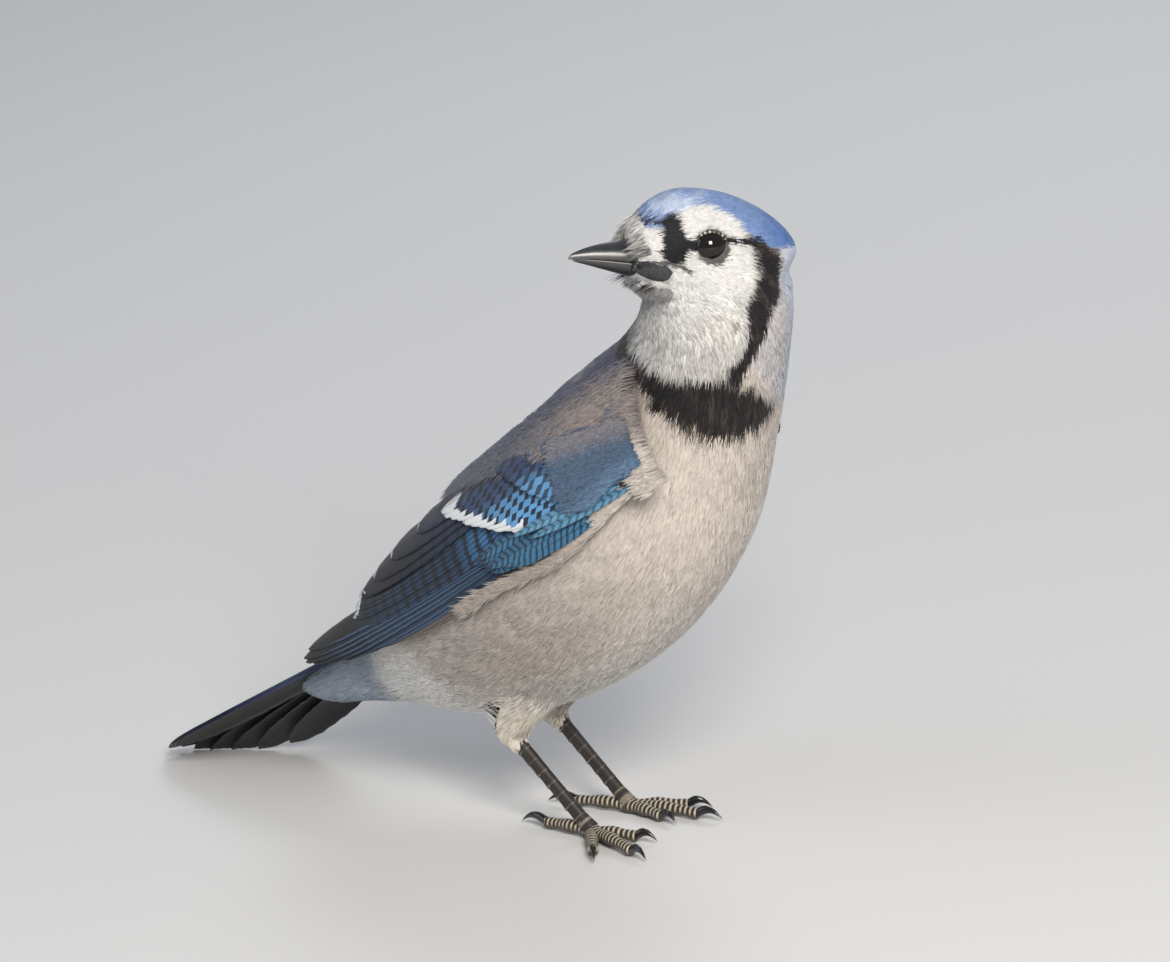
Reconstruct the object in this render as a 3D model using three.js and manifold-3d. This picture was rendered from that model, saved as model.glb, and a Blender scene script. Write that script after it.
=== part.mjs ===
// A perched blue jay, life size, as a still museum model.
// Millimetres, +Z up. The bird faces +X and its left is +Y. It is modelled about the floor point between
// its feet, and the group is moved at the end so that the origin is at the bottom centre of its box.
import * as THREE from 'three';
import { mergeVertices } from 'three/addons/utils/BufferGeometryUtils.js';
import Module from 'manifold-3d';

const wasm = await Module();
wasm.setup();

// Driving dimensions
const GAP = 0.3; // between touching nodes
const VANE = 0.6; // thickness of a feather vane
const SLOPE = THREE.MathUtils.degToRad(30.5); // fall of the folded wings from shoulder to tip
const SHOULDER = [37.3, 0, 101.7]; // where the wings' long axis starts, in the middle of the back
const HEAD = { at: [39.9, 0, 147.3], yaw: -120, pitch: 13 }; // the head looks back over the right shoulder
const BILL = { length: 17.6, root: 15.6, halfWidth: 5.0, top: 5.0, bottom: 4.3, line: -3.0 };
const EYE = { radius: 4.2, at: [1.9, 8.6, 3.0] }; // forward, sideways and up in the head's own frame
const TAIL = { root: [-60, 0, 46.5], tip: [-142.5, -1, 2.2], feathers: 6 };
const TAIL_SPREAD = {
  far: { step: 3.1, shorter: 0.95, roll: 24, fall: 10, stack: 0.7 },
  near: { step: 1.2, shorter: 0.3, roll: 20, fall: 3, stack: 0.8 },
};
const ANKLES = { right: [-23, -13, 24.5], left: [-27, 8, 23.5] };
const PADS = { right: [0, -13, 2.3], left: [-3.7, 6.6, 2.3] };
const SLEEVE = 0.2; // share of the shank that the thigh's feathers cover
const TOE_RADIUS = 1.75;
const CLAW_LENGTHS = [10.4, 7, 8.4, 7.2];
const TOE_LENGTHS = [15, 12.5, 19.5, 14.5]; // hind, inner, middle and outer toe
const TOE_HEADINGS = { right: [174, 8, -22, -50], left: [186, -14, 6, 27] };

const COLOURS = {
  breast: [0xcfc9c0, 0.9],
  nape: [0xb9bccb, 0.9],
  face: [0xe6e2da, 0.9],
  bill: [0x2b2c2f, 0.35],
  eye: [0x0b0908, 0.08],
  wing: [0x35618f, 0.6],
  tail: [0x2d5688, 0.6],
  leg: [0x2a2623, 0.55],
  claw: [0x191717, 0.35],
};

const v3 = (a) => new THREE.Vector3(...a);
const rad = THREE.MathUtils.degToRad;
const UP = v3([0, 0, 1]);

// A smooth curve through rows of numbers, read anywhere from 0 to 1.
function through(rows) {
  return (t) => {
    const x = THREE.MathUtils.clamp(t, 0, 1) * (rows.length - 1);
    const i = Math.min(Math.floor(x), rows.length - 2);
    const f = x - i;
    const row = (k) => rows[THREE.MathUtils.clamp(k, 0, rows.length - 1)];
    return rows[i].map((_, c) => {
      const [a, b, d, e] = [row(i - 1)[c], row(i)[c], row(i + 1)[c], row(i + 2)[c]];
      return b + 0.5 * f * (d - a + f * (2 * a - 5 * b + 4 * d - e + f * (3 * (b - d) + e - a)));
    });
  };
}

// A smooth curve through [x, ...values] rows whose first number rises, read at any x.
function table(rows) {
  return (x) => {
    const last = rows.length - 1;
    let i = 0;
    while (i < last - 1 && x > rows[i + 1][0]) i++;
    const f = THREE.MathUtils.clamp((x - rows[i][0]) / (rows[i + 1][0] - rows[i][0]), 0, 1);
    return through(rows)((i + f) / last).slice(1);
  };
}

function closedGeometry(points, faces) {
  const g = new THREE.BufferGeometry();
  g.setAttribute('position', new THREE.Float32BufferAttribute(points.flatMap((p) => [p.x, p.y, p.z]), 3));
  g.setIndex(faces.flat());
  return g;
}

// A closed body through rings of points, each closed by a fan at its two ends.
function loft(rings) {
  const n = rings[0].length;
  const points = rings.flat();
  const faces = [];
  for (let i = 0; i + 1 < rings.length; i++)
    for (let j = 0; j < n; j++) {
      const [a, b] = [i * n + j, i * n + ((j + 1) % n)];
      faces.push([a, b, b + n], [a, b + n, a + n]);
    }
  const middle = (ring) => ring.reduce((s, p) => s.clone().add(p)).divideScalar(n);
  const first = points.push(middle(rings[0])) - 1;
  const end = points.push(middle(rings[rings.length - 1])) - 1;
  const base = (rings.length - 1) * n;
  for (let j = 0; j < n; j++) {
    faces.push([first, (j + 1) % n, j]);
    faces.push([end, base + j, base + ((j + 1) % n)]);
  }
  return closedGeometry(points, faces);
}

// A ring round a centre: half width along side, and its own height above and below along up.
function ring(centre, side, up, halfWidth, top, bottom, sides) {
  return Array.from({ length: sides }, (_, j) => {
    const a = (2 * Math.PI * j) / sides;
    const height = Math.sin(a) > 0 ? top : bottom;
    const across = centre.clone().addScaledVector(side, halfWidth * Math.cos(a));
    return across.addScaledVector(up, height * Math.sin(a));
  });
}

// A thin closed plate: grid[i][k] holds a point and the two offsets of its faces along a normal.
function plate(grid) {
  const [rows, columns] = [grid.length, grid[0].length];
  const face = (key) => grid.flat().map((c) => c.p.clone().addScaledVector(c.n, c[key]));
  const points = [...face('outer'), ...face('inner')];
  const under = rows * columns;
  const faces = [];
  const at = (i, k) => i * columns + k;
  for (let i = 0; i + 1 < rows; i++)
    for (let k = 0; k + 1 < columns; k++) {
      const [a, b, c, d] = [at(i, k), at(i, k + 1), at(i + 1, k + 1), at(i + 1, k)];
      faces.push([a, b, c], [a, c, d]);
      faces.push([a + under, c + under, b + under], [a + under, d + under, c + under]);
    }
  const rim = [];
  for (let k = 0; k + 1 < columns; k++) rim.push(at(0, k));
  for (let i = 0; i + 1 < rows; i++) rim.push(at(i, columns - 1));
  for (let k = columns - 1; k > 0; k--) rim.push(at(rows - 1, k));
  for (let i = rows - 1; i > 0; i--) rim.push(at(i, 0));
  rim.forEach((a, i) => {
    const b = rim[(i + 1) % rim.length];
    faces.push([b, a, a + under], [b, a + under, b + under]);
  });
  return closedGeometry(points, faces);
}

function solid(geometry) {
  const bare = geometry.clone();
  bare.deleteAttribute('normal');
  bare.deleteAttribute('uv');
  const merged = mergeVertices(bare, 1e-4);
  const vertProperties = merged.attributes.position.array;
  const make = (triVerts) => new wasm.Manifold(new wasm.Mesh({ numProp: 3, vertProperties, triVerts }));
  const faces = new Uint32Array(merged.index.array);
  const made = make(faces);
  if (made.volume() > 0) return made;
  for (let i = 0; i < faces.length; i += 3) [faces[i + 1], faces[i + 2]] = [faces[i + 2], faces[i + 1]];
  return make(faces);
}

const union = (solids) => solids.reduce((a, b) => a.add(b));

// Joins the pieces of a node and keeps its largest closed surface.
function largest(one) {
  return one.decompose().sort((a, b) => b.volume() - a.volume())[0];
}

// A big block on one side of a plane, for cutting: it holds all that is ahead of the plane.
function ahead(point, direction, size = 260) {
  const block = new THREE.BoxGeometry(size, size, size).translate(0, 0, size / 2);
  const turn = new THREE.Quaternion().setFromUnitVectors(UP, direction.clone().normalize());
  return solid(block.applyQuaternion(turn).translate(point.x, point.y, point.z));
}

// Frames: the head's and the tail's
function headFrame() {
  const yaw = rad(HEAD.yaw);
  const heading = v3([Math.cos(yaw), Math.sin(yaw), 0]);
  const left = v3([-heading.y, heading.x, 0]);
  const pitch = rad(HEAD.pitch);
  const forward = heading.clone().multiplyScalar(Math.cos(pitch)).addScaledVector(UP, Math.sin(pitch));
  return { forward, left, up: forward.clone().cross(left), at: v3(HEAD.at) };
}
const head = headFrame();
const inHead = (f, l, u) =>
  head.at.clone().addScaledVector(head.forward, f).addScaledVector(head.left, l).addScaledVector(head.up, u);

// Torso and neck: x, z, half width, reach to the back and reach to the belly
const BODY = [
  [-77, 34.5, 7, 5, 10],
  [-62, 41, 14, 11, 20],
  [-43, 50, 22, 18, 29],
  [-20, 61, 27.5, 26.5, 33],
  [2, 75, 30, 31.5, 33],
  [20, 90, 28.5, 32, 28],
  [33, 107, 23.5, 27.5, 20.5],
  [40, 124, 20.5, 21, 17.5],
  [42, 137, 19, 18.5, 17.5],
  [41.5, 150, 13, 13, 13],
];
const bodyAt = through(BODY);

function bodyRing(t, sides, grow = 0) {
  const [x, z, w, d, v] = bodyAt(t);
  const step = 0.01;
  const [before, after] = [bodyAt(t - step), bodyAt(t + step)];
  const along = v3([after[0] - before[0], 0, after[1] - before[1]]).normalize();
  const back = along.clone().cross(v3([0, -1, 0])).negate();
  // the neck leans to the left under the turned head
  const lean = 2.4 * THREE.MathUtils.smoothstep(t, 0.6, 0.85);
  return ring(v3([x, lean, z]), v3([0, 1, 0]), back, w + grow, d + grow, v + grow, sides);
}

const bodySolid = (grow = 0) => solid(loft(Array.from({ length: 22 }, (_, i) => bodyRing(i / 21, 24, grow))));

// Head without its bill: forward, half width, top, bottom
const SKULL = [
  [-23.5, 4, 2, 9],
  [-20, 9.5, 6.4, 15],
  [-14, 12.6, 10.6, 17],
  [-6, 13.2, 13.8, 17],
  [2.5, 11.6, 15.2, 16],
  [9.5, 10.2, 14.2, 14],
  [14, 8.4, 11.2, 12],
  [17.5, 5.6, 7.4, 9],
];

function skullSolid() {
  const profile = through(SKULL);
  const rings = Array.from({ length: 17 }, (_, i) => {
    const [f, w, top, bottom] = profile(i / 16);
    return ring(inHead(f, 0, 0), head.left, head.up, w, top, bottom, 20);
  });
  return solid(loft(rings));
}

// A vane along a line, wide across and thin along its normal, with its tip rounded.
const VANE_SHAPE = [[0, 0.6], [0.4, 1], [0.86, 0.85], [1, 0.3]];

function vane({ root, tip, across, normal, halfWidth, sag = 0, thick = VANE, across0 = across }) {
  const grid = VANE_SHAPE.map(([t, share]) => {
    const centre = root.clone().lerp(tip, t).addScaledVector(normal, -sag * t * t);
    const side = across0.clone().lerp(across, t).normalize();
    return [-1, 1].map((k) => ({
      p: centre.clone().addScaledVector(side, k * halfWidth * share),
      n: normal,
      outer: thick / 2,
      inner: -thick / 2,
    }));
  });
  return solid(plate(grid));
}

// Crest: rows of narrow feathers that lie back over the crown, the last row past the nape
function crestSolids() {
  const rows = [
    { f: 9, count: 3, spread: 5.2, length: 12, up: 13.2 },
    { f: 1, count: 4, spread: 7.8, length: 13, up: 14.4 },
    { f: -7, count: 4, spread: 8.2, length: 13.5, up: 12.3 },
    { f: -12, count: 5, spread: 8.6, length: 15, up: 9.6 },
  ];
  return rows.flatMap((row) =>
    Array.from({ length: row.count }, (_, i) => {
      const l = row.spread * ((2 * i) / (row.count - 1) - 1);
      const drop = 0.055 * l * l;
      const fall = 0.42 + (9 - row.f) * 0.018;
      const root = inHead(row.f, l * 0.85, row.up - drop - 1.6);
      const tipUp = row.up - drop + 1.6 - row.length * Math.sin(fall);
      const tip = inHead(row.f - row.length * Math.cos(fall), l * 0.9, tipUp);
      const roll = (l / 12) * 1.1;
      const across = head.left.clone().multiplyScalar(Math.cos(roll));
      across.addScaledVector(head.up, -Math.sin(roll));
      const normal = tip.clone().sub(root).cross(across).normalize();
      if (normal.dot(head.up) < 0) normal.negate();
      return vane({ root, tip, across, normal, halfWidth: 2.3 });
    }),
  );
}

// Bristly tufts that lie forward over the nostrils, on both sides of the bill's root
function nasalTufts() {
  return [-1, 1].flatMap((side) =>
    [0, 1, 2, 3].map((i) => {
      const root = inHead(13.2, side * (3.2 + 1.5 * i), 6.8 - 1.7 * i);
      const tip = inHead(20.6 - 0.9 * i, side * (4.4 + 0.75 * i), 3.4 - 1.9 * i);
      const across = tip.clone().sub(root).cross(head.left.clone().multiplyScalar(side)).normalize();
      const normal = across.clone().cross(tip.clone().sub(root)).normalize();
      return vane({ root, tip, across, normal, halfWidth: 1.15 });
    }),
  );
}

// One half of the bill: the upper one arches down to its tip, the lower one rises to it
function billRings(upper, grow = 0) {
  const count = 9;
  return Array.from({ length: count }, (_, i) => {
    const t = i / (count - 1);
    const reach = upper ? 1 : 0.94;
    const f = BILL.root + BILL.length * reach * t - (i === 0 ? grow : 0);
    const w = BILL.halfWidth * Math.pow(1 - 0.97 * t, 0.85) + grow;
    const droop = upper ? -0.9 * Math.pow(t, 4) : -0.5 * Math.pow(t, 4);
    const depth = (upper ? BILL.top : BILL.bottom) * Math.pow(1 - 0.93 * t, upper ? 0.62 : 0.8) + 2 * grow;
    const lip = (upper ? 0.5 : -0.5) * GAP - (upper ? grow : -grow);
    return Array.from({ length: 9 }, (_, j) => {
      const a = (Math.PI * j) / 8;
      const u = BILL.line + droop + lip + (upper ? 1 : -1) * depth * Math.sin(a);
      return inHead(f, w * Math.cos(a), u);
    });
  });
}

// The line of the mouth runs back from the bill under the eye, as a shallow slit in the cheek
function mouthSlit(side) {
  const grid = [0, 0.5, 1].map((t) =>
    [16, 3 + 6.5 * t].map((l) => ({
      p: inHead(BILL.root + 1 - 10 * t, side * l, BILL.line - 1.2 * t * t),
      n: head.up,
      outer: 0.25,
      inner: -0.25,
    })),
  );
  return solid(plate(grid));
}

function eyeCentre(side) {
  return inHead(EYE.at[0], side * EYE.at[1], EYE.at[2]);
}

function lidRing(side) {
  const outward = head.left.clone().multiplyScalar(side).addScaledVector(head.forward, 0.12).normalize();
  const torus = new THREE.TorusGeometry(EYE.radius * 0.93, 0.75, 5, 16);
  torus.scale(1.05, 0.9, 1);
  const turn = new THREE.Matrix4().makeBasis(head.forward, outward.clone().cross(head.forward), outward);
  const at = eyeCentre(side).addScaledVector(outward, EYE.radius * 0.5);
  return solid(torus.applyMatrix4(turn).translate(at.x, at.y, at.z));
}

// Evenly spaced numbers, both ends included
function steps(from, to, n) {
  return Array.from({ length: n }, (_, i) => THREE.MathUtils.lerp(from, to, i / (n - 1)));
}

// The folded wing lies on a curved surface given by s, along it from the shoulder, and m, up towards the back
const WING_SIDE = table([[0, 29], [30, 32], [60, 31], [90, 27], [120, 22], [140, 19.5]]);
const WING_TOP = table([[0, 27.5], [30, 26.8], [60, 24.2], [90, 21.4], [120, 17.6], [140, 13.6]]);
const WING_LOW = table([[0, -1], [30, -6.4], [53, -4.6], [72, -4.5], [98, -4.3], [123, -1.5], [137, 4]]);
const WING_CORE = table([[-4, 8], [0, 10], [15, 15], [30, 18], [70, 17.5]]); // upper edge of its solid core
const alongWing = v3([-Math.cos(SLOPE), 0, -Math.sin(SLOPE)]);
const upWing = v3([-Math.sin(SLOPE), 0, Math.cos(SLOPE)]);

function onWing(s, m, side) {
  const [reach] = WING_SIDE(s);
  const [top] = WING_TOP(s);
  const share = Math.min(Math.abs(m + 2) / (top + 2), 0.97);
  const y = reach * Math.sqrt(1 - share * share);
  return v3(SHOULDER).addScaledVector(alongWing, s).addScaledVector(upWing, m).add(v3([0, side * y, 0]));
}

function wingNormal(s, m, side) {
  const step = 0.5;
  const ds = onWing(s + step, m, side).sub(onWing(s - step, m, side));
  const dm = onWing(s, m + step, side).sub(onWing(s, m - step, side));
  const n = ds.cross(dm).normalize();
  return n.y * side < 0 ? n.negate() : n;
}

// A plate that follows the wing's surface over a grid of s and m
function wingPlate(side, sRow, mRow, outer, inner) {
  return plate(
    sRow.map((s) => mRow(s).map((m) => ({ p: onWing(s, m, side), n: wingNormal(s, m, side), outer, inner }))),
  );
}

// A feather of the wing: its lower edge shows, and its upper edge dips under the next feather
function wingFeather(side, { root, tip, halfWidth, lift, tilt }) {
  const direction = new THREE.Vector2(tip[0] - root[0], tip[1] - root[1]).normalize();
  const grid = VANE_SHAPE.map(([t, share]) => {
    const s = THREE.MathUtils.lerp(root[0], tip[0], t);
    const m = THREE.MathUtils.lerp(root[1], tip[1], t);
    const n = wingNormal(s, m, side);
    const sink = lift - (1 - t) * (1 - t) * 0.9;
    return [-1, 1].map((k) => {
      const w = k * halfWidth * share;
      const top = WING_TOP(s)[0] - 2.4 - (k < 0 ? 1 : 0);
      const p = onWing(s - direction.y * w, Math.min(m + direction.x * w, top), side);
      const off = sink - (k > 0 ? 2 * halfWidth * share * tilt : 0);
      return { p, n, outer: off + VANE / 2, inner: off - VANE / 2 };
    });
  });
  return solid(plate(grid));
}

// The feathers of a folded wing by tier, from the lowest edge up
function wingFeathers() {
  const spread = (count, from, to) => (i) => THREE.MathUtils.lerp(from, to, i / (count - 1));
  const tier = (count, make) => Array.from({ length: count }, (_, i) => make(i));
  const primaryTips = [[101, -4.0], [112, -2.8], [121, -1.2], [128, 0.6], [134, 3], [137.5, 5.6], [135, 8.6]];
  const primaries = tier(7, (i) => ({
    root: [44, -3.4 + 0.9 * i],
    tip: primaryTips[i],
    halfWidth: 3.6,
    lift: -0.9,
    tilt: 0.3,
  }));
  const secondaries = tier(6, (i) => ({
    root: [42, spread(6, 3.5, 12.5)(i)],
    tip: [spread(6, 116, 109)(i), spread(6, 6.4, 12.8)(i)],
    halfWidth: 4,
    lift: -0.4,
    tilt: 0.3,
  }));
  const tertials = tier(3, (i) => ({
    root: [46, 14.4 + 2.4 * i],
    tip: [[106, 11.6], [98, 14.6], [86, 17.6]][i],
    halfWidth: [5, 5, 4.6][i],
    lift: 0.2,
    tilt: 0.22,
  }));
  const primaryCoverts = tier(4, (i) => ({
    root: [20, -5 + 1.4 * i],
    tip: [[55, -4.2], [58, -2], [60, 0.3], [61, 2.4]][i],
    halfWidth: 2.7,
    lift: 0.1,
    tilt: 0.26,
  }));
  const greaterCoverts = tier(8, (i) => ({
    root: [spread(8, 17, 26)(i), spread(8, -1, 15.5)(i)],
    tip: [spread(8, 43, 68)(i), spread(8, 3, 17.2)(i)],
    halfWidth: 2.9,
    lift: 0.9,
    tilt: 0.2,
  }));
  const medianCoverts = tier(6, (i) => ({
    root: [spread(6, 7, 17)(i), spread(6, 0, 13)(i)],
    tip: [spread(6, 23, 37)(i), spread(6, 2.2, 16.2)(i)],
    halfWidth: 2.9,
    lift: 1.5,
    tilt: 0.18,
  }));
  const lesserCoverts = tier(5, (i) => ({
    root: [spread(5, 0, 8)(i), spread(5, 1, 11)(i)],
    tip: [spread(5, 12, 21)(i), spread(5, 2.4, 14.5)(i)],
    halfWidth: 3.1,
    lift: 1.9,
    tilt: 0.16,
  }));
  const coverts = [primaryCoverts, greaterCoverts, medianCoverts, lesserCoverts];
  return [primaries, secondaries, tertials, ...coverts].flat();
}

function wingSolid(side) {
  const core = solid(
    wingPlate(side, steps(-2, 66, 7), (s) => steps(WING_LOW(s)[0] + 2, WING_CORE(s)[0], 5), 1.2, -3.2),
  );
  const under = solid(
    wingPlate(side, steps(58, 104, 4), (s) => steps(WING_LOW(s)[0] + 3, WING_TOP(s)[0] - 6, 3), -1.6, -3),
  );
  return largest(union([core, under, ...wingFeathers().map((f) => wingFeather(side, f))]));
}

// The bed in the torso's side that the wing lies in
function wingBed(side) {
  const rows = (s) => {
    const room = Math.min(6, 2.6 + 0.16 * Math.max(s, 0));
    return steps(WING_LOW(s)[0] - 4, Math.min(WING_CORE(s)[0] + room, WING_TOP(s)[0] - 0.8), 8);
  };
  return solid(wingPlate(side, steps(-4, 134, 12), rows, 14, -4.6));
}

// Tail: a short core of coverts with twelve feathers, the middle pair on top and longest
function tailFrame() {
  const root = v3(TAIL.root);
  const tip = v3(TAIL.tip);
  const along = tip.clone().sub(root).normalize();
  const flat = v3([0, 1, 0]);
  const up = flat.clone().cross(along).normalize();
  if (up.z < 0) up.negate();
  const turn = (vector, degrees) => vector.clone().applyAxisAngle(along, rad(degrees));
  return { root, tip, along, flat, up, turn, length: tip.distanceTo(root) };
}
const tail = tailFrame();

// Coverts over and under the tail's root: place along the tail, half width, top, bottom
const TAIL_CORE = [
  [0, 10, 4.2, 25],
  [0.12, 9.4, 4, 19],
  [0.26, 8, 2.4, 12.8],
  [0.4, 6, 0.8, 8.2],
  [0.47, 3, 0.4, 4],
];

function tailSolid() {
  const rings = TAIL_CORE.map(([t, w, up, down]) => {
    const centre = tail.root.clone().lerp(tail.tip, t).addScaledVector(tail.up, -1.6);
    const roll = TAIL_SPREAD.near.roll * t;
    return ring(centre, tail.turn(tail.flat, roll), tail.turn(tail.up, roll), w, up, down, 14);
  });
  const core = solid(loft(rings));
  const feathers = [-1, 1].flatMap((side) =>
    Array.from({ length: TAIL.feathers }, (_, i) => {
      const { step, shorter, roll: flatRoll, fall, stack } = TAIL_SPREAD[side > 0 ? 'far' : 'near'];
      const roll = flatRoll + fall * Math.min(1, 0.4 + i / 3);
      const across = tail.turn(tail.flat, roll);
      const normal = tail.turn(tail.up, roll);
      const depth = stack * (i + (side > 0 ? 0.5 : 0));
      const root = tail.root
        .clone()
        .addScaledVector(tail.along, 8)
        .addScaledVector(tail.flat, side * (0.6 + 0.8 * i))
        .addScaledVector(tail.up, -0.6 - 0.35 * i);
      const tip = tail.tip
        .clone()
        .addScaledVector(tail.along, -shorter * i * i)
        .addScaledVector(across, side * (1.5 + step * i))
        .addScaledVector(normal, -depth);
      return vane({ root, tip, across, across0: tail.flat, normal, halfWidth: 5.2 });
    }),
  );
  return largest(union([core, ...feathers]));
}

// Legs
function limb(points, radii, sides, sideways, straight = null) {
  const rings = points.map((p, i) => {
    const next = points[Math.min(i + 1, points.length - 1)];
    const along = straight ?? next.clone().sub(points[Math.max(i - 1, 0)]).normalize();
    const across = sideways.clone().addScaledVector(along, -sideways.dot(along)).normalize();
    const [w, h] = Array.isArray(radii[i]) ? radii[i] : [radii[i], radii[i]];
    return ring(p, across, along.clone().cross(across), w, h, h, sides);
  });
  return solid(loft(rings));
}

// The thigh's feathers reach down over the ankle and the top of the shank as a narrow sleeve
function thighSolid(which) {
  const ankle = v3(ANKLES[which]);
  const hip = ankle.clone().add(v3([12, -0.3 * ankle.y, 17]));
  const rows = [[0, 7.4], [0.35, 6.4], [0.7, 4.9], [1, 3.6]];
  const across = v3([0, 1, 0]);
  const line = rows.map(([t]) => hip.clone().lerp(ankle, t));
  const thigh = limb(line, rows.map(([, r]) => [r, r * 1.1]), 12, across);
  const joint = solid(new THREE.SphereGeometry(3.6, 10, 6).translate(ankle.x, ankle.y, ankle.z));
  const end = ankle.clone().lerp(v3(PADS[which]), SLEEVE + 0.02);
  return union([thigh, joint, limb([ankle, end], [3.5, 2.6], 8, across)]);
}

// The shank between ankle and toes, with overlapping plates down its front
function shankSolid(which) {
  const ankle = v3(ANKLES[which]);
  const pad = v3(PADS[which]);
  const plates = 7;
  const points = [];
  const radii = [];
  const put = (t, w, h) => {
    points.push(ankle.clone().lerp(pad, t));
    radii.push([w, h]);
  };
  put(-0.02, 1.7, 1.9);
  put(0.05, 2.0, 2.3);
  for (let i = 0; i < plates; i++) {
    const t = 0.1 + (0.76 * i) / plates;
    put(t, 1.5, 1.75);
    put(t + 0.76 / plates - 0.01, 1.65, 2.0);
  }
  put(0.9, 1.75, 1.9);
  return limb(points, radii, 10, v3([0, 1, 0]));
}

const toeDirection = (which, toe) => {
  const heading = rad(TOE_HEADINGS[which][toe]);
  return v3([Math.cos(heading), Math.sin(heading), 0]);
};

// A toe arches a little between its joints, with a plate across each step
function toeLine(which, toe, t) {
  const along = toeDirection(which, toe);
  const length = TOE_LENGTHS[toe];
  const arch = 0.8 * Math.sin(Math.PI * t) * (length / 12);
  return v3(PADS[which]).addScaledVector(along, length * t).add(v3([0, 0, -0.75 + arch * 0.5]));
}

function toeSolid(which, toe) {
  const plates = Math.round(TOE_LENGTHS[toe] / 2.4);
  const points = [];
  const radii = [];
  for (let i = 0; i <= plates; i++) {
    const t = (i + 0.001) / plates;
    const knuckle = 1 + 0.1 * Math.cos(4 * Math.PI * t);
    const r = TOE_RADIUS * (1 - 0.25 * t) * knuckle;
    points.push(toeLine(which, toe, t));
    radii.push(r * 0.9);
    if (i < plates) {
      points.push(toeLine(which, toe, t + 0.82 / plates));
      radii.push(r * 1.06);
    }
  }
  const along = toeDirection(which, toe);
  return limb(points, radii, 8, along.clone().cross(UP), along);
}

function footSolid(which) {
  const ball = solid(new THREE.SphereGeometry(2.5, 12, 8).scale(1.15, 1, 0.9).translate(...PADS[which]));
  const ankle = v3(ANKLES[which]);
  const pad = v3(PADS[which]);
  const root = limb([ankle.clone().lerp(pad, 0.86), pad], [[1.7, 1.9], [1.9, 2]], 10, v3([0, 1, 0]));
  return union([ball, root, ...[0, 1, 2, 3].map((toe) => toeSolid(which, toe))]);
}

function clawSolid(which, toe) {
  const along = toeDirection(which, toe);
  const end = toeLine(which, toe, 1).addScaledVector(along, GAP);
  const length = CLAW_LENGTHS[toe];
  const points = [0, 0.25, 0.5, 0.75, 1].map((t) => {
    const rise = 1.5 * Math.sin(Math.PI * 0.85 * t) - 1.6 * t * t;
    return end.clone().addScaledVector(along, length * 0.82 * t).add(v3([0, 0, 0.15 + rise]));
  });
  return limb(points, [1.25, 1.2, 0.95, 0.65, 0.25], 8, along.clone().cross(UP), along);
}

// Assembly
const node = new Map();
const wings = { right: wingSolid(-1), left: wingSolid(1) };
const floor = ahead(v3([0, 0, 0]), UP, 400);

const flesh = bodySolid().add(skullSolid());
const bedded = flesh.subtract(wingBed(1)).subtract(wingBed(-1));
const rightThigh = thighSolid('right');
const leftThigh = thighSolid('left');

// The neck is parted from the head and the torso by flat cuts
const headCutWay = head.up.clone().addScaledVector(head.forward, -0.35).normalize();
const HEAD_CUT = { at: inHead(-2, 0, -14.5), way: headCutWay };
const NECK_CUT = { at: v3([35, 0, 112]), way: v3([0.35, 0, 1]).normalize() };
const moved = (cut, by) => cut.at.clone().addScaledVector(cut.way, by);
const aboveCut = (cut, by = 0) => ahead(moved(cut, by), cut.way);
const belowCut = (cut, by = 0) => ahead(moved(cut, -by), cut.way.clone().negate());
const ballAt = (centre, radius, sides, rings) =>
  solid(new THREE.SphereGeometry(radius, sides, rings).translate(centre.x, centre.y, centre.z));

function headSolid() {
  let made = flesh.intersect(aboveCut(HEAD_CUT, GAP / 2));
  made = union([made, ...crestSolids(), ...nasalTufts(), lidRing(1), lidRing(-1)]);
  for (const upper of [true, false]) made = made.subtract(solid(loft(billRings(upper, GAP))));
  for (const side of [-1, 1]) {
    made = made.subtract(ballAt(eyeCentre(side), EYE.radius + GAP, 16, 10));
    made = made.subtract(mouthSlit(side));
  }
  return largest(made);
}

node.set('head', [headSolid(), 'face']);
const neckPiece = bedded.intersect(belowCut(HEAD_CUT, GAP / 2)).intersect(aboveCut(NECK_CUT, GAP / 2));
node.set('neck', [largest(neckPiece), 'nape']);
node.set('bill_upper', [solid(loft(billRings(true))), 'bill']);
node.set('bill_lower', [solid(loft(billRings(false))), 'bill']);
for (const [name, side] of [['left', 1], ['right', -1]]) {
  node.set('eye_' + name, [ballAt(eyeCentre(side), EYE.radius, 16, 10), 'eye']);
}

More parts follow.
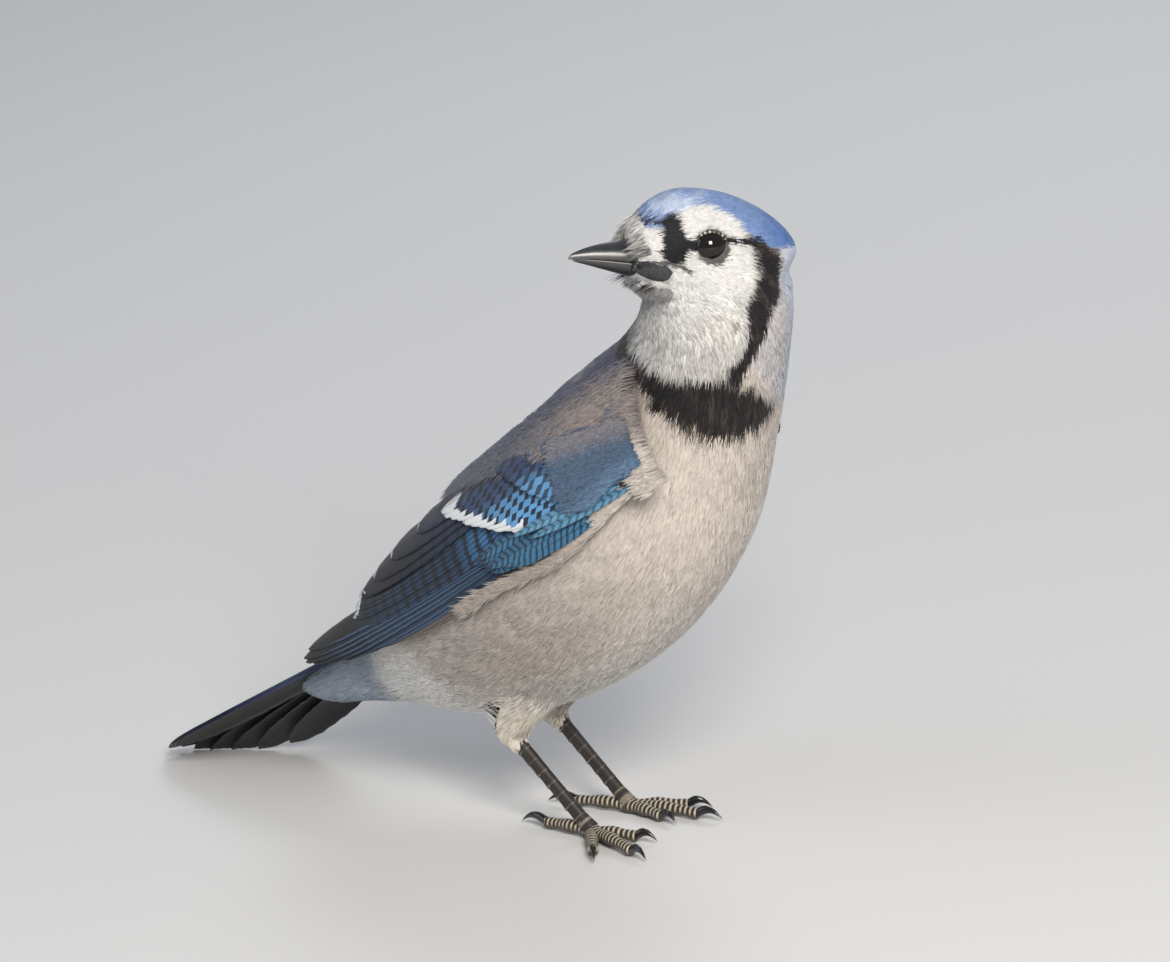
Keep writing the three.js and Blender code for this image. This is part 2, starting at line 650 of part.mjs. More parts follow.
// The torso ends where the tail starts, and a thin slice parts each thigh's lower end from it
const tailCut = { at: tail.root, way: tail.along };
const torsoBody = largest(bedded.intersect(belowCut(NECK_CUT, GAP / 2)).intersect(belowCut(tailCut, GAP)));
const legCut = { at: v3([0, 0, 27.5]), way: v3([0.1, 0, 1]).normalize() };
const upperThighs = rightThigh.add(leftThigh).intersect(aboveCut(legCut, GAP / 2));
const bellyRoom = bodySolid(GAP);
node.set('torso', [torsoBody.add(upperThighs), 'breast']);
for (const [name, thigh] of [['right', rightThigh], ['left', leftThigh]]) {
  const [ankle, pad] = [v3(ANKLES[name]), v3(PADS[name])];
  const way = pad.clone().sub(ankle).normalize();
  const cuff = ankle.clone().lerp(pad, SLEEVE);
  const lower = thigh.intersect(belowCut(legCut, GAP / 2)).subtract(ahead(cuff, way)).subtract(bellyRoom);
  node.set('thigh_' + name, [largest(lower), 'breast']);
  const start = ahead(cuff.addScaledVector(way, GAP), way);
  const end = ankle.clone().lerp(pad, 0.86).addScaledVector(way, -GAP);
  const stop = ahead(end, way.clone().negate());
  node.set('shank_' + name, [largest(shankSolid(name).intersect(start).intersect(stop)), 'leg']);
  node.set('foot_' + name, [largest(footSolid(name).intersect(floor)), 'leg']);
  for (let toe = 0; toe < 4; toe++) {
    const claw = clawSolid(name, toe).intersect(floor);
    node.set('claw_' + name + '_' + (toe + 1), [largest(claw), 'claw']);
  }
}

node.set('tail', [largest(tailSolid().intersect(floor)), 'tail']);
node.set('wing_right', [wings.right, 'wing']);
node.set('wing_left', [wings.left, 'wing']);

function meshOf(name, [made, colour]) {
  const { vertProperties, triVerts, numProp } = made.getMesh();
  const points = [];
  for (let i = 0; i < vertProperties.length; i += numProp) points.push(...vertProperties.slice(i, i + 3));
  const geometry = new THREE.BufferGeometry();
  geometry.setAttribute('position', new THREE.Float32BufferAttribute(points, 3));
  geometry.setIndex(Array.from(triVerts));
  geometry.computeVertexNormals();
  const [color, roughness] = COLOURS[colour];
  const mesh = new THREE.Mesh(geometry, new THREE.MeshStandardMaterial({ color, roughness, metalness: 0 }));
  mesh.name = name;
  return mesh;
}

const jay = new THREE.Group();
for (const [name, entry] of node) jay.add(meshOf(name, entry));
const box = new THREE.Box3().setFromObject(jay);
const middle = box.getCenter(new THREE.Vector3());
jay.position.set(-middle.x, -middle.y, -box.min.z);

export default jay;
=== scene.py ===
import math

import bpy
import numpy as np
from mathutils import Matrix, Vector
from mathutils.bvhtree import BVHTree
from mathutils.kdtree import KDTree


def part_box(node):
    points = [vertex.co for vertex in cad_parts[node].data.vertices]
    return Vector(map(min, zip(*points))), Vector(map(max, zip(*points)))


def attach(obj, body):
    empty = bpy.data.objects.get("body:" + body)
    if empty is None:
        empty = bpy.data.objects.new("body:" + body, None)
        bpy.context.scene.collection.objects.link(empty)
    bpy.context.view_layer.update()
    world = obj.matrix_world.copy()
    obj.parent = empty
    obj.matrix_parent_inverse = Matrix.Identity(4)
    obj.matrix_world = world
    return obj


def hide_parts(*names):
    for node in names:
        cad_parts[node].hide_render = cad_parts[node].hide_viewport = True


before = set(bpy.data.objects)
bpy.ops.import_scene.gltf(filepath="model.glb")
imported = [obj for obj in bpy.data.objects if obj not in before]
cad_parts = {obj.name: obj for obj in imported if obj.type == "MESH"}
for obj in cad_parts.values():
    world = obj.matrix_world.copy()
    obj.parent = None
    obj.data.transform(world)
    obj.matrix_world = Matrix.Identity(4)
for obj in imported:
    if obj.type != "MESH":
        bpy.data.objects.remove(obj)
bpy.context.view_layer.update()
rng = np.random.default_rng(41)

# Named sizes
MM = 0.001
HEAD_AT = np.array([39.9, 0.0, 147.3])
HEAD_YAW, HEAD_PITCH = math.radians(-120), math.radians(13)
HORN = ((34, 36, 40), (56, 57, 60))
BILL = {"root": 15.6, "length": 17.6, "half": 5.0, "top": 5.0, "bottom": 4.3, "line": -3.0}
EYE = {"radius": 4.2, "at": (1.9, 8.6, 3.0)}
WING_SLOPE = math.radians(30.5)
SHOULDER = np.array([37.3, 0.0, 101.7])
TAIL_ROOT, TAIL_TIP = np.array([-60.0, 0.0, 46.5]), np.array([-142.5, -1.0, 2.2])
TAIL_SPREAD = {
    "far": {"step": 3.1, "shorter": 0.95, "roll": 24, "fall": 10, "stack": 0.7},
    "near": {"step": 1.2, "shorter": 0.3, "roll": 20, "fall": 3, "stack": 0.8},
}
ANKLES = {"right": (-23, -13, 24.5), "left": (-27, 8, 23.5)}
PADS = {"right": (0, -13, 2.3), "left": (-3.7, 6.6, 2.3)}
SLEEVE = 0.2
TOE_RADIUS = 1.75
TOE_LENGTHS = [15, 12.5, 19.5, 14.5]
CLAW_LENGTHS = [10.4, 7, 8.4, 7.2]
TOE_HEADINGS = {"right": [174, 8, -22, -50], "left": [186, -14, 6, 27]}
BODY_DEPTH, HEAD_DEPTH = 1.7, 1.0
BLADES = 205000
PIECE_BLADES = 32000
WING_BLADES = 13000
VOXEL, SOFTENING = 1.15, 7
HEAD_SPLIT = -11.5
EYE_CLEAR = 3.7
LID = {"out": 2.15, "wide": 3.85, "high": 3.45, "thick": 0.42, "beads": 22}
FLOOR_LIFT = 0.05
SIDES = (("left", 1), ("right", -1))
Y_AXIS, Z_AXIS = np.array([0.0, 1.0, 0.0]), np.array([0.0, 0.0, 1.0])


# Vectors and curves
def unit(v):
    v = np.asarray(v, float)
    return v / np.maximum(np.linalg.norm(v, axis=-1, keepdims=True), 1e-12)


def smooth(x, low, high):
    t = np.clip((np.asarray(x, float) - low) / (high - low), 0, 1)
    return t * t * (3 - 2 * t)


def mix(a, b, t):
    return np.asarray(a) * (1 - t) + np.asarray(b) * t


def blend(a, b, share):
    """Colours or directions a turned into b by a share for each point."""
    share = np.asarray(share, float)[..., None]
    return np.asarray(a) * (1 - share) + np.asarray(b) * share


def through(rows):
    """A smooth curve through rows of numbers, read anywhere from 0 to 1."""
    rows = np.array(rows, float)
    last = len(rows) - 1

    def at(t):
        x = np.clip(np.asarray(t, float), 0, 1) * last
        i = np.minimum(np.floor(x).astype(int), last - 1)
        f = (x - i)[..., None]
        a, b, d, e = (rows[np.clip(i + k, 0, last)] for k in (-1, 0, 1, 2))
        return b + 0.5 * f * (d - a + f * (2 * a - 5 * b + 4 * d - e + f * (3 * (b - d) + e - a)))

    return at


def table(rows):
    """A smooth curve through (x, value) rows whose x rises, read at any x."""
    rows = np.array(rows, float)
    curve = through(rows)

    def at(x):
        x = np.asarray(x, float)
        i = np.clip(np.searchsorted(rows[:, 0], x, side="right") - 1, 0, len(rows) - 2)
        f = np.clip((x - rows[i, 0]) / (rows[i + 1, 0] - rows[i, 0]), 0, 1)
        return curve((i + f) / (len(rows) - 1))[..., 1]

    return at


def line(rows):
    """Straight pieces through (x, value) rows."""
    rows = np.array(rows, float)
    return lambda x: np.interp(x, rows[:, 0], rows[:, 1])


def srgb(*c):
    c = np.array(c, float) / 255
    return np.where(c <= 0.04045, c / 12.92, ((c + 0.055) / 1.055) ** 2.4)


def noise3(p, scale, seed=0):
    """A smooth value from -1 to 1 at each point, from a few sine waves with seeded directions."""
    r = np.random.default_rng(seed)
    total = 0
    for k in range(5):
        way = unit(r.normal(size=3)) * (1 + 0.55 * k) * 2 * math.pi / scale
        total = total + np.sin(p @ way + r.uniform(0, 6.28))
    return total / 3.2


def circle(count):
    return np.linspace(0, 2 * math.pi, count, endpoint=False)


def grid(rings, sides):
    """(place along from 0 to 1, angle round) for each ring and side of a tube."""
    return np.meshgrid(np.linspace(0, 1, rings), circle(sides), indexing="ij")


def capped(tint):
    """A tube's tint with its two end points added."""
    return np.concatenate([tint, tint[[0, -1]]])


def triples(points):
    return [tuple(map(float, v)) for v in points]


def corners(faces):
    return [tuple(map(int, f)) for f in faces]


# Frames
forward = unit(
    [
        math.cos(HEAD_YAW) * math.cos(HEAD_PITCH),
        math.sin(HEAD_YAW) * math.cos(HEAD_PITCH),
        math.sin(HEAD_PITCH),
    ]
)
left = np.array([-math.sin(HEAD_YAW), math.cos(HEAD_YAW), 0.0])
crown_way = np.cross(forward, left)


def in_head(f, l, u):
    f, l, u = (np.asarray(v, float)[..., None] for v in (f, l, u))
    return HEAD_AT + forward * f + left * l + crown_way * u


def to_head(p):
    q = np.asarray(p) - HEAD_AT
    return q @ forward, q @ left, q @ crown_way


eye_left = in_head(*EYE["at"])
low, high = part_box("eye_left")
SHIFT = np.array((low + high) / 2) / MM - eye_left


def to_row(p):
    return (np.asarray(p) + SHIFT) * MM


# Body, skull, thighs and tail coverts as lofted tubes
BODY = through(
    [
        (-77, 34.5, 7, 5, 10),
        (-62, 41, 14, 11, 20),
        (-43, 50, 22, 18, 29),
        (-20, 61, 27.5, 26.5, 33),
        (2, 75, 30, 31.5, 33),
        (20, 90, 28.5, 32, 28),
        (33, 107, 23.5, 27.5, 20.5),
        (40, 124, 20.5, 21, 17.5),
        (42, 137, 19, 18.5, 17.5),
        (41.5, 150, 13, 13, 13),
    ]
)
SKULL = through(
    [
        (-23.5, 4, 2, 9),
        (-20, 9.5, 6.4, 15),
        (-14, 12.6, 10.6, 17),
        (-6, 13.2, 13.8, 17),
        (2.5, 11.6, 15.2, 16),
        (9.5, 10.2, 14.2, 14),
        (14, 8.4, 11.2, 12),
        (17.5, 5.6, 7.4, 9),
    ]
)


def spine(t):
    """The point, the way to the head and the way to the back of the body's axis at t."""
    row = BODY(t)
    ahead, behind = BODY(np.add(t, 0.01)), BODY(np.subtract(t, 0.01))
    way = np.zeros(np.shape(t) + (3,))
    way[..., 0] = ahead[..., 0] - behind[..., 0]
    way[..., 2] = ahead[..., 1] - behind[..., 1]
    way = unit(way)
    back = np.stack([-way[..., 2], 0 * way[..., 0], way[..., 0]], -1)
    centre = np.stack([row[..., 0], 2.4 * smooth(t, 0.6, 0.85), row[..., 1]], -1)
    return centre, way, back, row


def body_points(t, angle, grow):
    centre, _, back, row = spine(t)
    height = np.where(np.sin(angle) > 0, row[..., 3], row[..., 4]) + grow
    across = (row[..., 2] + grow) * np.cos(angle)
    return centre + across[..., None] * Y_AXIS + (height * np.sin(angle))[..., None] * back


def skull_points(t, angle, grow):
    f, w, top, bottom = np.moveaxis(SKULL(t), -1, 0)
    height = np.where(np.sin(angle) > 0, top, bottom) + grow
    return in_head(f - 0.6 * grow * np.sign(t - 0.5), (w + grow) * np.cos(angle), height * np.sin(angle))


def tube_faces(rings, sides):
    """Quads round a tube of rings, with a fan at each end: its two middle points come last."""
    faces = []
    for i in range(rings - 1):
        for j in range(sides):
            k = (j + 1) % sides
            faces.append((i * sides + j, i * sides + k, (i + 1) * sides + k, (i + 1) * sides + j))
    first, last = rings * sides, rings * sides + 1
    base = (rings - 1) * sides
    for j in range(sides):
        k = (j + 1) % sides
        faces.append((first, k, j))
        faces.append((last, base + j, base + k))
    return faces


def volume(verts, faces):
    """Six times the volume inside faces of three or four corners; below 0 when they face in."""
    four = np.array([tuple(f) + tuple(f[-1:]) * (4 - len(f)) for f in faces])
    a, b, c, d = np.moveaxis(verts[four], 1, 0)
    return (a * (np.cross(b, c) + np.cross(c, d))).sum()


def tube(points):
    """(vertices, faces) of a closed tube through points[ring, side]."""
    points = np.asarray(points, float)
    middles = np.stack([points[0].mean(0), points[-1].mean(0)])
    verts = np.concatenate([points.reshape(-1, 3), middles])
    faces = tube_faces(*points.shape[:2])
    return verts, faces if volume(verts, faces) > 0 else [f[::-1] for f in faces]


def new_mesh(name, verts, faces):
    """A mesh from vertices in the bird's frame."""
    mesh = bpy.data.meshes.new(name)
    mesh.from_pydata(triples(to_row(verts)), [], corners(faces))
    mesh.update()
    return mesh


def linked(name, data):
    """A new object in the scene."""
    obj = bpy.data.objects.new(name, data)
    bpy.context.scene.collection.objects.link(obj)
    return obj


def mesh_object(name, verts, faces, material, slot, tint=None):
    """A mesh object that rides on the body, from vertices in the bird's frame."""
    return finish_object(name, new_mesh(name, verts, faces), material, tint)


def finish_object(name, mesh, material, tint=None):
    mesh.polygons.foreach_set("use_smooth", np.ones(len(mesh.polygons), bool))
    if tint is not None:
        paint(mesh, tint)
    obj = linked(name, mesh)
    mesh.materials.append(material)
    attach(obj, "root")
    return obj


def paint(mesh, tint):
    colours = np.ones((len(mesh.vertices), 4), np.float32)
    colours[:, :3] = tint
    layer = mesh.attributes.new("Tint", "FLOAT_COLOR", "POINT")
    layer.data.foreach_set("color", colours.ravel())


def join(parts):
    """One (vertices, faces) from several."""
    verts, faces, start = [], [], 0
    for v, f in parts:
        verts.append(v)
        faces.extend(tuple(i + start for i in face) for face in f)
        start += len(v)
    return np.concatenate(verts), faces


# Wings: the same folded surface as the solids'
WING_SIDE = table([(0, 29), (30, 32), (60, 31), (90, 27), (120, 22), (140, 19.5)])
WING_TOP = table([(0, 27.5), (30, 26.8), (60, 24.2), (90, 21.4), (120, 17.6), (140, 13.6)])
WING_LOW = table([(0, -1), (30, -6.4), (53, -4.6), (72, -4.5), (98, -4.3), (123, -1.5), (137, 4)])
WING_CORE = table([(-4, 8), (0, 10), (15, 15), (30, 18), (70, 17.5)])
along_wing = np.array([-math.cos(WING_SLOPE), 0, -math.sin(WING_SLOPE)])
up_wing = np.array([-math.sin(WING_SLOPE), 0, math.cos(WING_SLOPE)])


def on_wing(s, m, side):
    s, m = np.asarray(s, float), np.asarray(m, float)
    top = WING_TOP(s)
    share = np.minimum(np.abs(m + 2) / (top + 2), 0.97)
    y = WING_SIDE(s) * np.sqrt(1 - share**2)
    return SHOULDER + s[..., None] * along_wing + m[..., None] * up_wing + (side * y)[..., None] * Y_AXIS


def wing_normal(s, m, side):
    ds = on_wing(s + 0.5, m, side) - on_wing(s - 0.5, m, side)
    dm = on_wing(s, m + 0.5, side) - on_wing(s, m - 0.5, side)
    n = unit(np.cross(ds, dm))
    return np.where((n[..., 1] * side < 0)[..., None], -n, n)


def wing_coordinates(p):
    """(s, m) of points beside the body."""
    q = p - SHOULDER
    return q @ along_wing, q @ up_wing


# Limbs
def limb_rings(points, widths, heights, sides, across, fixed=None):
    """Rings of an elliptical section along points; fixed is the way they face, where they don't turn."""
    points = np.asarray(points, float)
    way = unit(np.gradient(points, axis=0)) if fixed is None else np.tile(fixed, (len(points), 1))
    side = unit(across - (way @ across)[:, None] * way)
    up = np.cross(way, side)
    c, s = (way_of(circle(sides))[None, :, None] for way_of in (np.cos, np.sin))
    w, h = (np.asarray(v, float).reshape(len(points), -1, 1) for v in (widths, heights))
    return points[:, None] + side[:, None] * w * c + up[:, None] * h * s


def thigh_tube(which, grow):
    ankle, pad = np.array(ANKLES[which], float), np.array(PADS[which], float)
    hip = ankle + (12, -0.3 * ankle[1], 17)
    t = np.linspace(-0.15, 1, 26)
    r = line([(-0.15, 7.6), (0, 7.4), (0.35, 6.4), (0.7, 4.9), (1, 3.5)])(t) + grow
    upper = tube(limb_rings(mix(hip, ankle, t[:, None]), r, r * 1.1, 28, Y_AXIS))
    t = np.linspace(-0.03, SLEEVE, 10)
    r = line([(-0.03, 3.5), (0, 3.5), (SLEEVE, 2.5)])(t) + grow
    sleeve = tube(limb_rings(mix(ankle, pad, t[:, None]), r, r, 20, Y_AXIS))
    return join([upper, sleeve, ball(ankle, 3.5 + grow, Y_AXIS, 16, 20)])


# Tail frame
tail_along = unit(TAIL_TIP - TAIL_ROOT)
tail_flat = Y_AXIS
tail_up = np.cross(tail_flat, tail_along)
tail_up = unit(tail_up if tail_up[2] > 0 else -tail_up)


def turned(v, degrees):
    a = math.radians(degrees)
    k = tail_along
    return v * math.cos(a) + np.cross(k, v) * math.sin(a) + k * (v @ k) * (1 - math.cos(a))


TAIL_CORE = through(
    [
        (-0.1, 11, 6, 27),
        (0.0, 10, 4.2, 24),
        (0.13, 9.2, 3.6, 18),
        (0.26, 8, 2.2, 12.6),
        (0.38, 6.4, 0.9, 8.8),
        (0.47, 3, 0.5, 3.4),
    ]
)


def tail_core_tube(grow):
    """The tail's coverts: rows of place along the tail, half width, height above and depth below."""
    rings = []
    angle = circle(28)[:, None]
    for t, w, up, down in TAIL_CORE(np.linspace(0, 1, 26)):
        centre = mix(TAIL_ROOT, TAIL_TIP, t) - 1.6 * tail_up
        height = np.where(np.sin(angle) > 0, up, down) + grow
        roll = TAIL_SPREAD["near"]["roll"] * max(t, 0)
        side, top = turned(tail_flat, roll), turned(tail_up, roll)
        rings.append(centre + side * (w + grow) * np.cos(angle) + top * height * np.sin(angle))
    return tube(rings)


# Markings: each returns a share from 0 to 1 for points in the bird's frame
def near_strokes(p, strokes, soft=0.5):
    """1 inside a chain of balls (x, y, z, radius), falling to 0 over soft."""
    strokes = np.array(strokes, float)
    best = np.full(len(p), 1e9)
    for a, b in zip(strokes[:-1], strokes[1:]):
        way = b[:3] - a[:3]
        t = np.clip(((p - a[:3]) @ way) / max(way @ way, 1e-9), 0, 1)
        gap = np.linalg.norm(p - a[:3] - t[:, None] * way, axis=1) - (a[3] + t * (b[3] - a[3]))
        best = np.minimum(best, gap)
    return 1 - smooth(best, -soft, soft)


def flat_strokes(f, u, strokes, soft=0.4):
    p = np.stack([f, u, 0 * f], -1)
    return near_strokes(p, [(a, b, 0, r) for a, b, r in strokes], soft)


COLLAR_NEAR = [
    (54.6, 2.0, 151, 1.8),
    (57.0, 3.7, 147.4, 3.6),
    (58.0, 4.6, 143.5, 3.8),
    (58.4, 3.2, 140, 4.6),
    (58.6, -0.3, 137.2, 4.2),
    (58.4, -2.6, 134, 3.8),
    (58.0, -3.2, 130, 3.0),
    (57.4, -4.4, 126.3, 2.4),
    (56.2, -6.4, 123.3, 2.1),
    (54.8, -8.6, 120, 3.0),
]
COLLAR_FAR = [
    (32, 17.5, 141, 3.5),
    (29, 17, 136, 3.5),
    (23, 9, 131, 3.3),
    (20, -3, 127.5, 3.0),
    (26, -14, 123.5, 2.6),
    (34.1, -19.3, 120.2, 1.9),
]
BREAST_BAND = [
    (34.1, -19.3, 120.2, 1.9),
    (38, -19.6, 118.4, 3.2),
    (42.4, -19, 116.0, 4.4),
    (47, -16.6, 113.4, 5.8),
    (50.4, -13, 112.2, 7.4),
    (52.8, -7.5, 110.2, 6.6),
    (54, -1, 108.8, 4.2),
    (53.8, 4, 107.6, 2.2),
]
THROAT_TURN = line([(104, -40), (118, -66), (122, -76), (130, -98), (136, -112), (145, -120)])
THROAT_WIDTH = line([(117, 0), (119, 26), (122, 42), (126, 60), (130, 72), (136, 86), (145, 98)])
CROWN_LINE = line(
    [
        (-24, 4.5), (-18, 3.6), (-12.9, 3.6), (-8.5, 5.4), (-6.2, 7.2), (-4.1, 9), (-1.8, 11),
        (1.2, 12), (4.3, 12.2), (7.6, 11.2), (10.8, 8.2), (13.3, 6.2), (17, 5.2), (20, 5),
    ]
)

# the last of these three greys is painted shade, laid on the throat's shaded side and under the chin
WHITE, THROAT, PAINTED_SHADE_GREY = srgb(206, 205, 202), srgb(194, 192, 188), srgb(128, 127, 128)
BLACK, SOOT, RUSTY = srgb(20, 20, 23), srgb(30, 28, 29), srgb(92, 80, 74)
NAPE, NAPE_EDGE = srgb(190, 186, 188), srgb(176, 188, 206)
MANTLE, MANTLE_COOL, MANTLE_BLUE_AND_SHADE = srgb(140, 130, 126), srgb(96, 98, 108), srgb(44, 58, 88)
CROWN, CROWN_PALE, CREST = srgb(112, 136, 180), srgb(176, 188, 210), srgb(78, 110, 168)
NAVY, FADED_BLUE, FADED_SLATE = srgb(40, 48, 66), srgb(104, 136, 168), srgb(104, 110, 134)
BREAST, BELLY, FLANK = srgb(202, 192, 183), srgb(220, 216, 210), srgb(170, 160, 152)
VENT, UNDERTAIL, CREAM = srgb(228, 226, 221), srgb(150, 162, 176), srgb(206, 198, 180)


def body_parameters(p):
    """(t, angle) of points: their place along the body's axis and round it."""
    ts = np.linspace(0, 1, 121)
    centre, way, back, _ = spine(ts)
    best = np.argmin(((p[:, None, [0, 2]] - centre[None, :, [0, 2]]) ** 2).sum(-1), axis=1)
    q = p - centre[best]
    t = ts[best] + (q * way[best]).sum(1) / 190
    angle = np.degrees(np.arctan2((q * back[best]).sum(1), q[:, 1]))
    return np.clip(t, 0, 1), angle


MANTLE_LOW = line([(-6, 9), (0, 10.5), (14, 12.6), (30, 16), (60, 20), (140, 12)])


def back_colour(p):
    """Grey-brown over the shoulders, slate further down and a deep blue along the spine, partly the mantle's
    own blue and partly painted shade.
    """
    s, m = wing_coordinates(p)
    cool = blend(MANTLE, MANTLE_COOL, smooth(s, 2, 40))
    cool = cool * (1 + 0.1 * noise3(p, 5, 31))[:, None]
    # the deep blue high on the back is partly painted shade
    return blend(cool, MANTLE_BLUE_AND_SHADE, smooth(m, 18, 26) * 0.85 + 0.1 * smooth(s, 20, 60))


def throat_turn(p):
    """Degrees round the neck from the middle of the throat."""
    around = np.degrees(np.arctan2(p[:, 1] - 2.4, p[:, 0] - 40))
    return (around - THROAT_TURN(p[:, 2]) + 180) % 360 - 180


def markings(p):
    """Linear colours of the plumage at points in the bird's frame, shared by skin and coat."""
    f, l, u = to_head(p)
    far = np.abs(l)
    t, angle = body_parameters(p)
    wobble = noise3(p, 7, 3)
    # torso
    dorsal = smooth(angle, 2, 26) * (1 - smooth(angle, 158, 182))
    belly = smooth(-angle, 50, 95) * (1 - smooth(-angle, 95, 140))
    colour = blend(BREAST, BELLY, belly * (1 - smooth(t, 0.35, 0.6)))
    # painted light: the breast's front is blended towards the vent's white on its left side only
    far_side_light = smooth(p[:, 1], -2, 14) * smooth(p[:, 0], 20, 44) * (1 - smooth(t, 0.5, 0.75))
    colour = blend(colour, VENT, far_side_light * 0.8)
    low_side = smooth(np.abs(p[:, 1]), 12, 24) * (1 - smooth(t, 0.34, 0.62)) * smooth(t, 0.1, 0.24)
    colour = blend(colour, FLANK, np.clip(low_side * (0.85 + 0.25 * wobble), 0, 1))
    vent = (1 - smooth(t, 0.17, 0.27)) * (1 - smooth(np.abs(p[:, 1]), 15, 21)) * (angle < 30)
    colour = blend(colour, VENT, np.clip(vent, 0, 1))
    colour = blend(colour, UNDERTAIL, 1 - smooth(p[:, 0], -70, -60))
    thigh = (p[:, 2] < 30) * smooth(-np.abs(p[:, 0] + 18), -14, -8)
    colour = blend(colour, CREAM, thigh * 0.6)
    colour = blend(colour, back_colour(p), dorsal * smooth(t, 0.05, 0.12))
    # neck
    turn = throat_turn(p)
    neck = smooth(p[:, 2] + 0.25 * (p[:, 0] - 40), 103, 112)
    behind = np.maximum(smooth(turn, 44, 62) * smooth(p[:, 2], 106, 114), smooth(np.abs(turn), 84, 100))
    nape = blend(NAPE, NAPE_EDGE, smooth(p[:, 1], 4, 15))
    colour = blend(colour, nape, np.clip(neck * behind, 0, 1))
    back_neck = smooth(-p[:, 0], -34, -22) * (1 - smooth(p[:, 2], 120, 130))
    colour = blend(colour, back_colour(p), back_neck * neck)
    bib = (1 - smooth(np.abs(turn) - THROAT_WIDTH(p[:, 2]) - 2 * wobble, -4, 4)) * smooth(p[:, 2], 116, 119)
    # painted shade: one side of the throat darkens towards the grey
    shaded = smooth(-turn, 18, 60) * 0.75
    colour = blend(colour, blend(THROAT, PAINTED_SHADE_GREY, shaded), bib)
    # head
    on_head = smooth(u + 0.35 * f, -14, -9)
    # painted shadow: the white face turns grey low down towards the chin
    pale = blend(WHITE, PAINTED_SHADE_GREY, smooth(-u, 6, 14) * smooth(f, 8, 13) * 0.8)
    colour = blend(colour, pale, on_head * smooth(f, -15.5, -13.5))
    colour = blend(colour, nape, on_head * (1 - smooth(f, -16.5, -14.5)))
    crown = smooth(u - CROWN_LINE(f) - 0.5 * wobble, -0.5, 0.5) * on_head
    crown = crown * (1 - smooth(f, 16.4, 17.6))
    tone = blend(CREST, CROWN, smooth(f, -20, -6))
    lit = smooth(noise3(p, 5.0, 8), -0.1, 0.6) * smooth(f, -1, 7)
    tone = blend(tone, CROWN_PALE, 0.8 * lit)
    mottle = smooth(noise3(p, 3.2, 9), 0.2, 0.6) * smooth(f, 4, 9) * (1 - 0.6 * lit)
    tone = blend(tone, NAVY, 0.7 * mottle)
    arc = flat_strokes(f, u, [(12.4, 10.6, 1.5), (9.4, 11.6, 1.6), (7, 12.4, 1)], 0.5)
    tone = blend(tone, CROWN_PALE, arc * 0.9)
    colour = blend(colour, tone, crown)
    side = smooth(far, 3.5, 5)
    lores = flat_strokes(f, u, [(11.4, 7.6, 2.0), (10.9, 4.2, 2.8), (10.4, 1.0, 3.1)]) * side
    brow = flat_strokes(f, u, [(11.5, 8.0, 0.9), (13.6, 7.6, 0.7), (16.6, 7.4, 0.8)])
    brow = brow * (0.75 + 0.25 * wobble)
    bridge = flat_strokes(f, u, [(9, 3.0, 1.7), (5.5, 2.9, 1.2)]) * side
    eyeline = flat_strokes(f, u, [(-1.6, 4.9, 0.8), (-5.2, 4.7, 0.8), (-9.4, 4.4, 1.4)], 0.3) * side
    gape = flat_strokes(f, u, [(14.6, -1.9, 0.6), (8.5, -2.4, 0.7), (6.4, -3.6, 0.5)], 0.3) * side
    black = np.maximum.reduce([lores, brow, bridge, eyeline, 0.85 * gape])
    away = np.stack([f - EYE["at"][0], u - EYE["at"][2]], -1)
    ring = 1 - smooth(np.linalg.norm(away * (0.95, 1.05), axis=1), 4.0, 4.7)
    black = np.maximum(black, 0.85 * ring * side) * on_head
    q = p + 0.6 * wobble[:, None]
    chains = (COLLAR_NEAR, COLLAR_FAR, BREAST_BAND)
    collar = np.maximum.reduce([near_strokes(q, chain, 0.8) for chain in chains]) * (1 - crown)
    colour = blend(colour, RUSTY, near_strokes(q, BREAST_BAND, 3.6) * 0.8)
    colour = blend(colour, BLACK, np.clip(black, 0, 1))
    soot = blend(SOOT, RUSTY, smooth(noise3(p, 6, 12), 0.1, 0.9) * 0.4)
    return blend(colour, soot, np.clip(collar, 0, 1))


def throat_gap_shade(p):
    """Where painted shade darkens the gaps between the long feathers of the throat, more on the throat's
    shaded side.
    """
    _, _, u = to_head(p)
    turn = throat_turn(p)
    bib = (1 - smooth(np.abs(turn) - THROAT_WIDTH(p[:, 2]), -4, 8)) * smooth(p[:, 2], 112, 117)
    return bib * (1 - smooth(u, -8, -3)) * (0.7 + 0.3 * smooth(-turn, 0, 50))


# Materials
def material(name, roughness, specular=0.4, coat=0.0, sheen=0.0):
    mat = bpy.data.materials.new(name)
    mat.use_nodes = True
    nodes, links = mat.node_tree.nodes, mat.node_tree.links
    shader = nodes["Principled BSDF"]
    shader.inputs["Roughness"].default_value = roughness
    shader.inputs["Specular IOR Level"].default_value = specular
    shader.inputs["Coat Weight"].default_value = coat
    shader.inputs["Sheen Weight"].default_value = sheen
    return mat, nodes, links, shader


def node(nodes, links, kind, values=None, **inputs):
    """A shader node with its values set and its inputs linked or filled."""
    made = nodes.new(kind)
    for key, value in (values or {}).items():
        setattr(made, key, value)
    for key, value in inputs.items():
        key = int(key[1:]) if key[0] == "i" and key[1:].isdigit() else key.replace("_", " ")
        if isinstance(value, bpy.types.NodeSocket):
            links.new(value, made.inputs[key])
        else:
            made.inputs[key].default_value = value
    return made


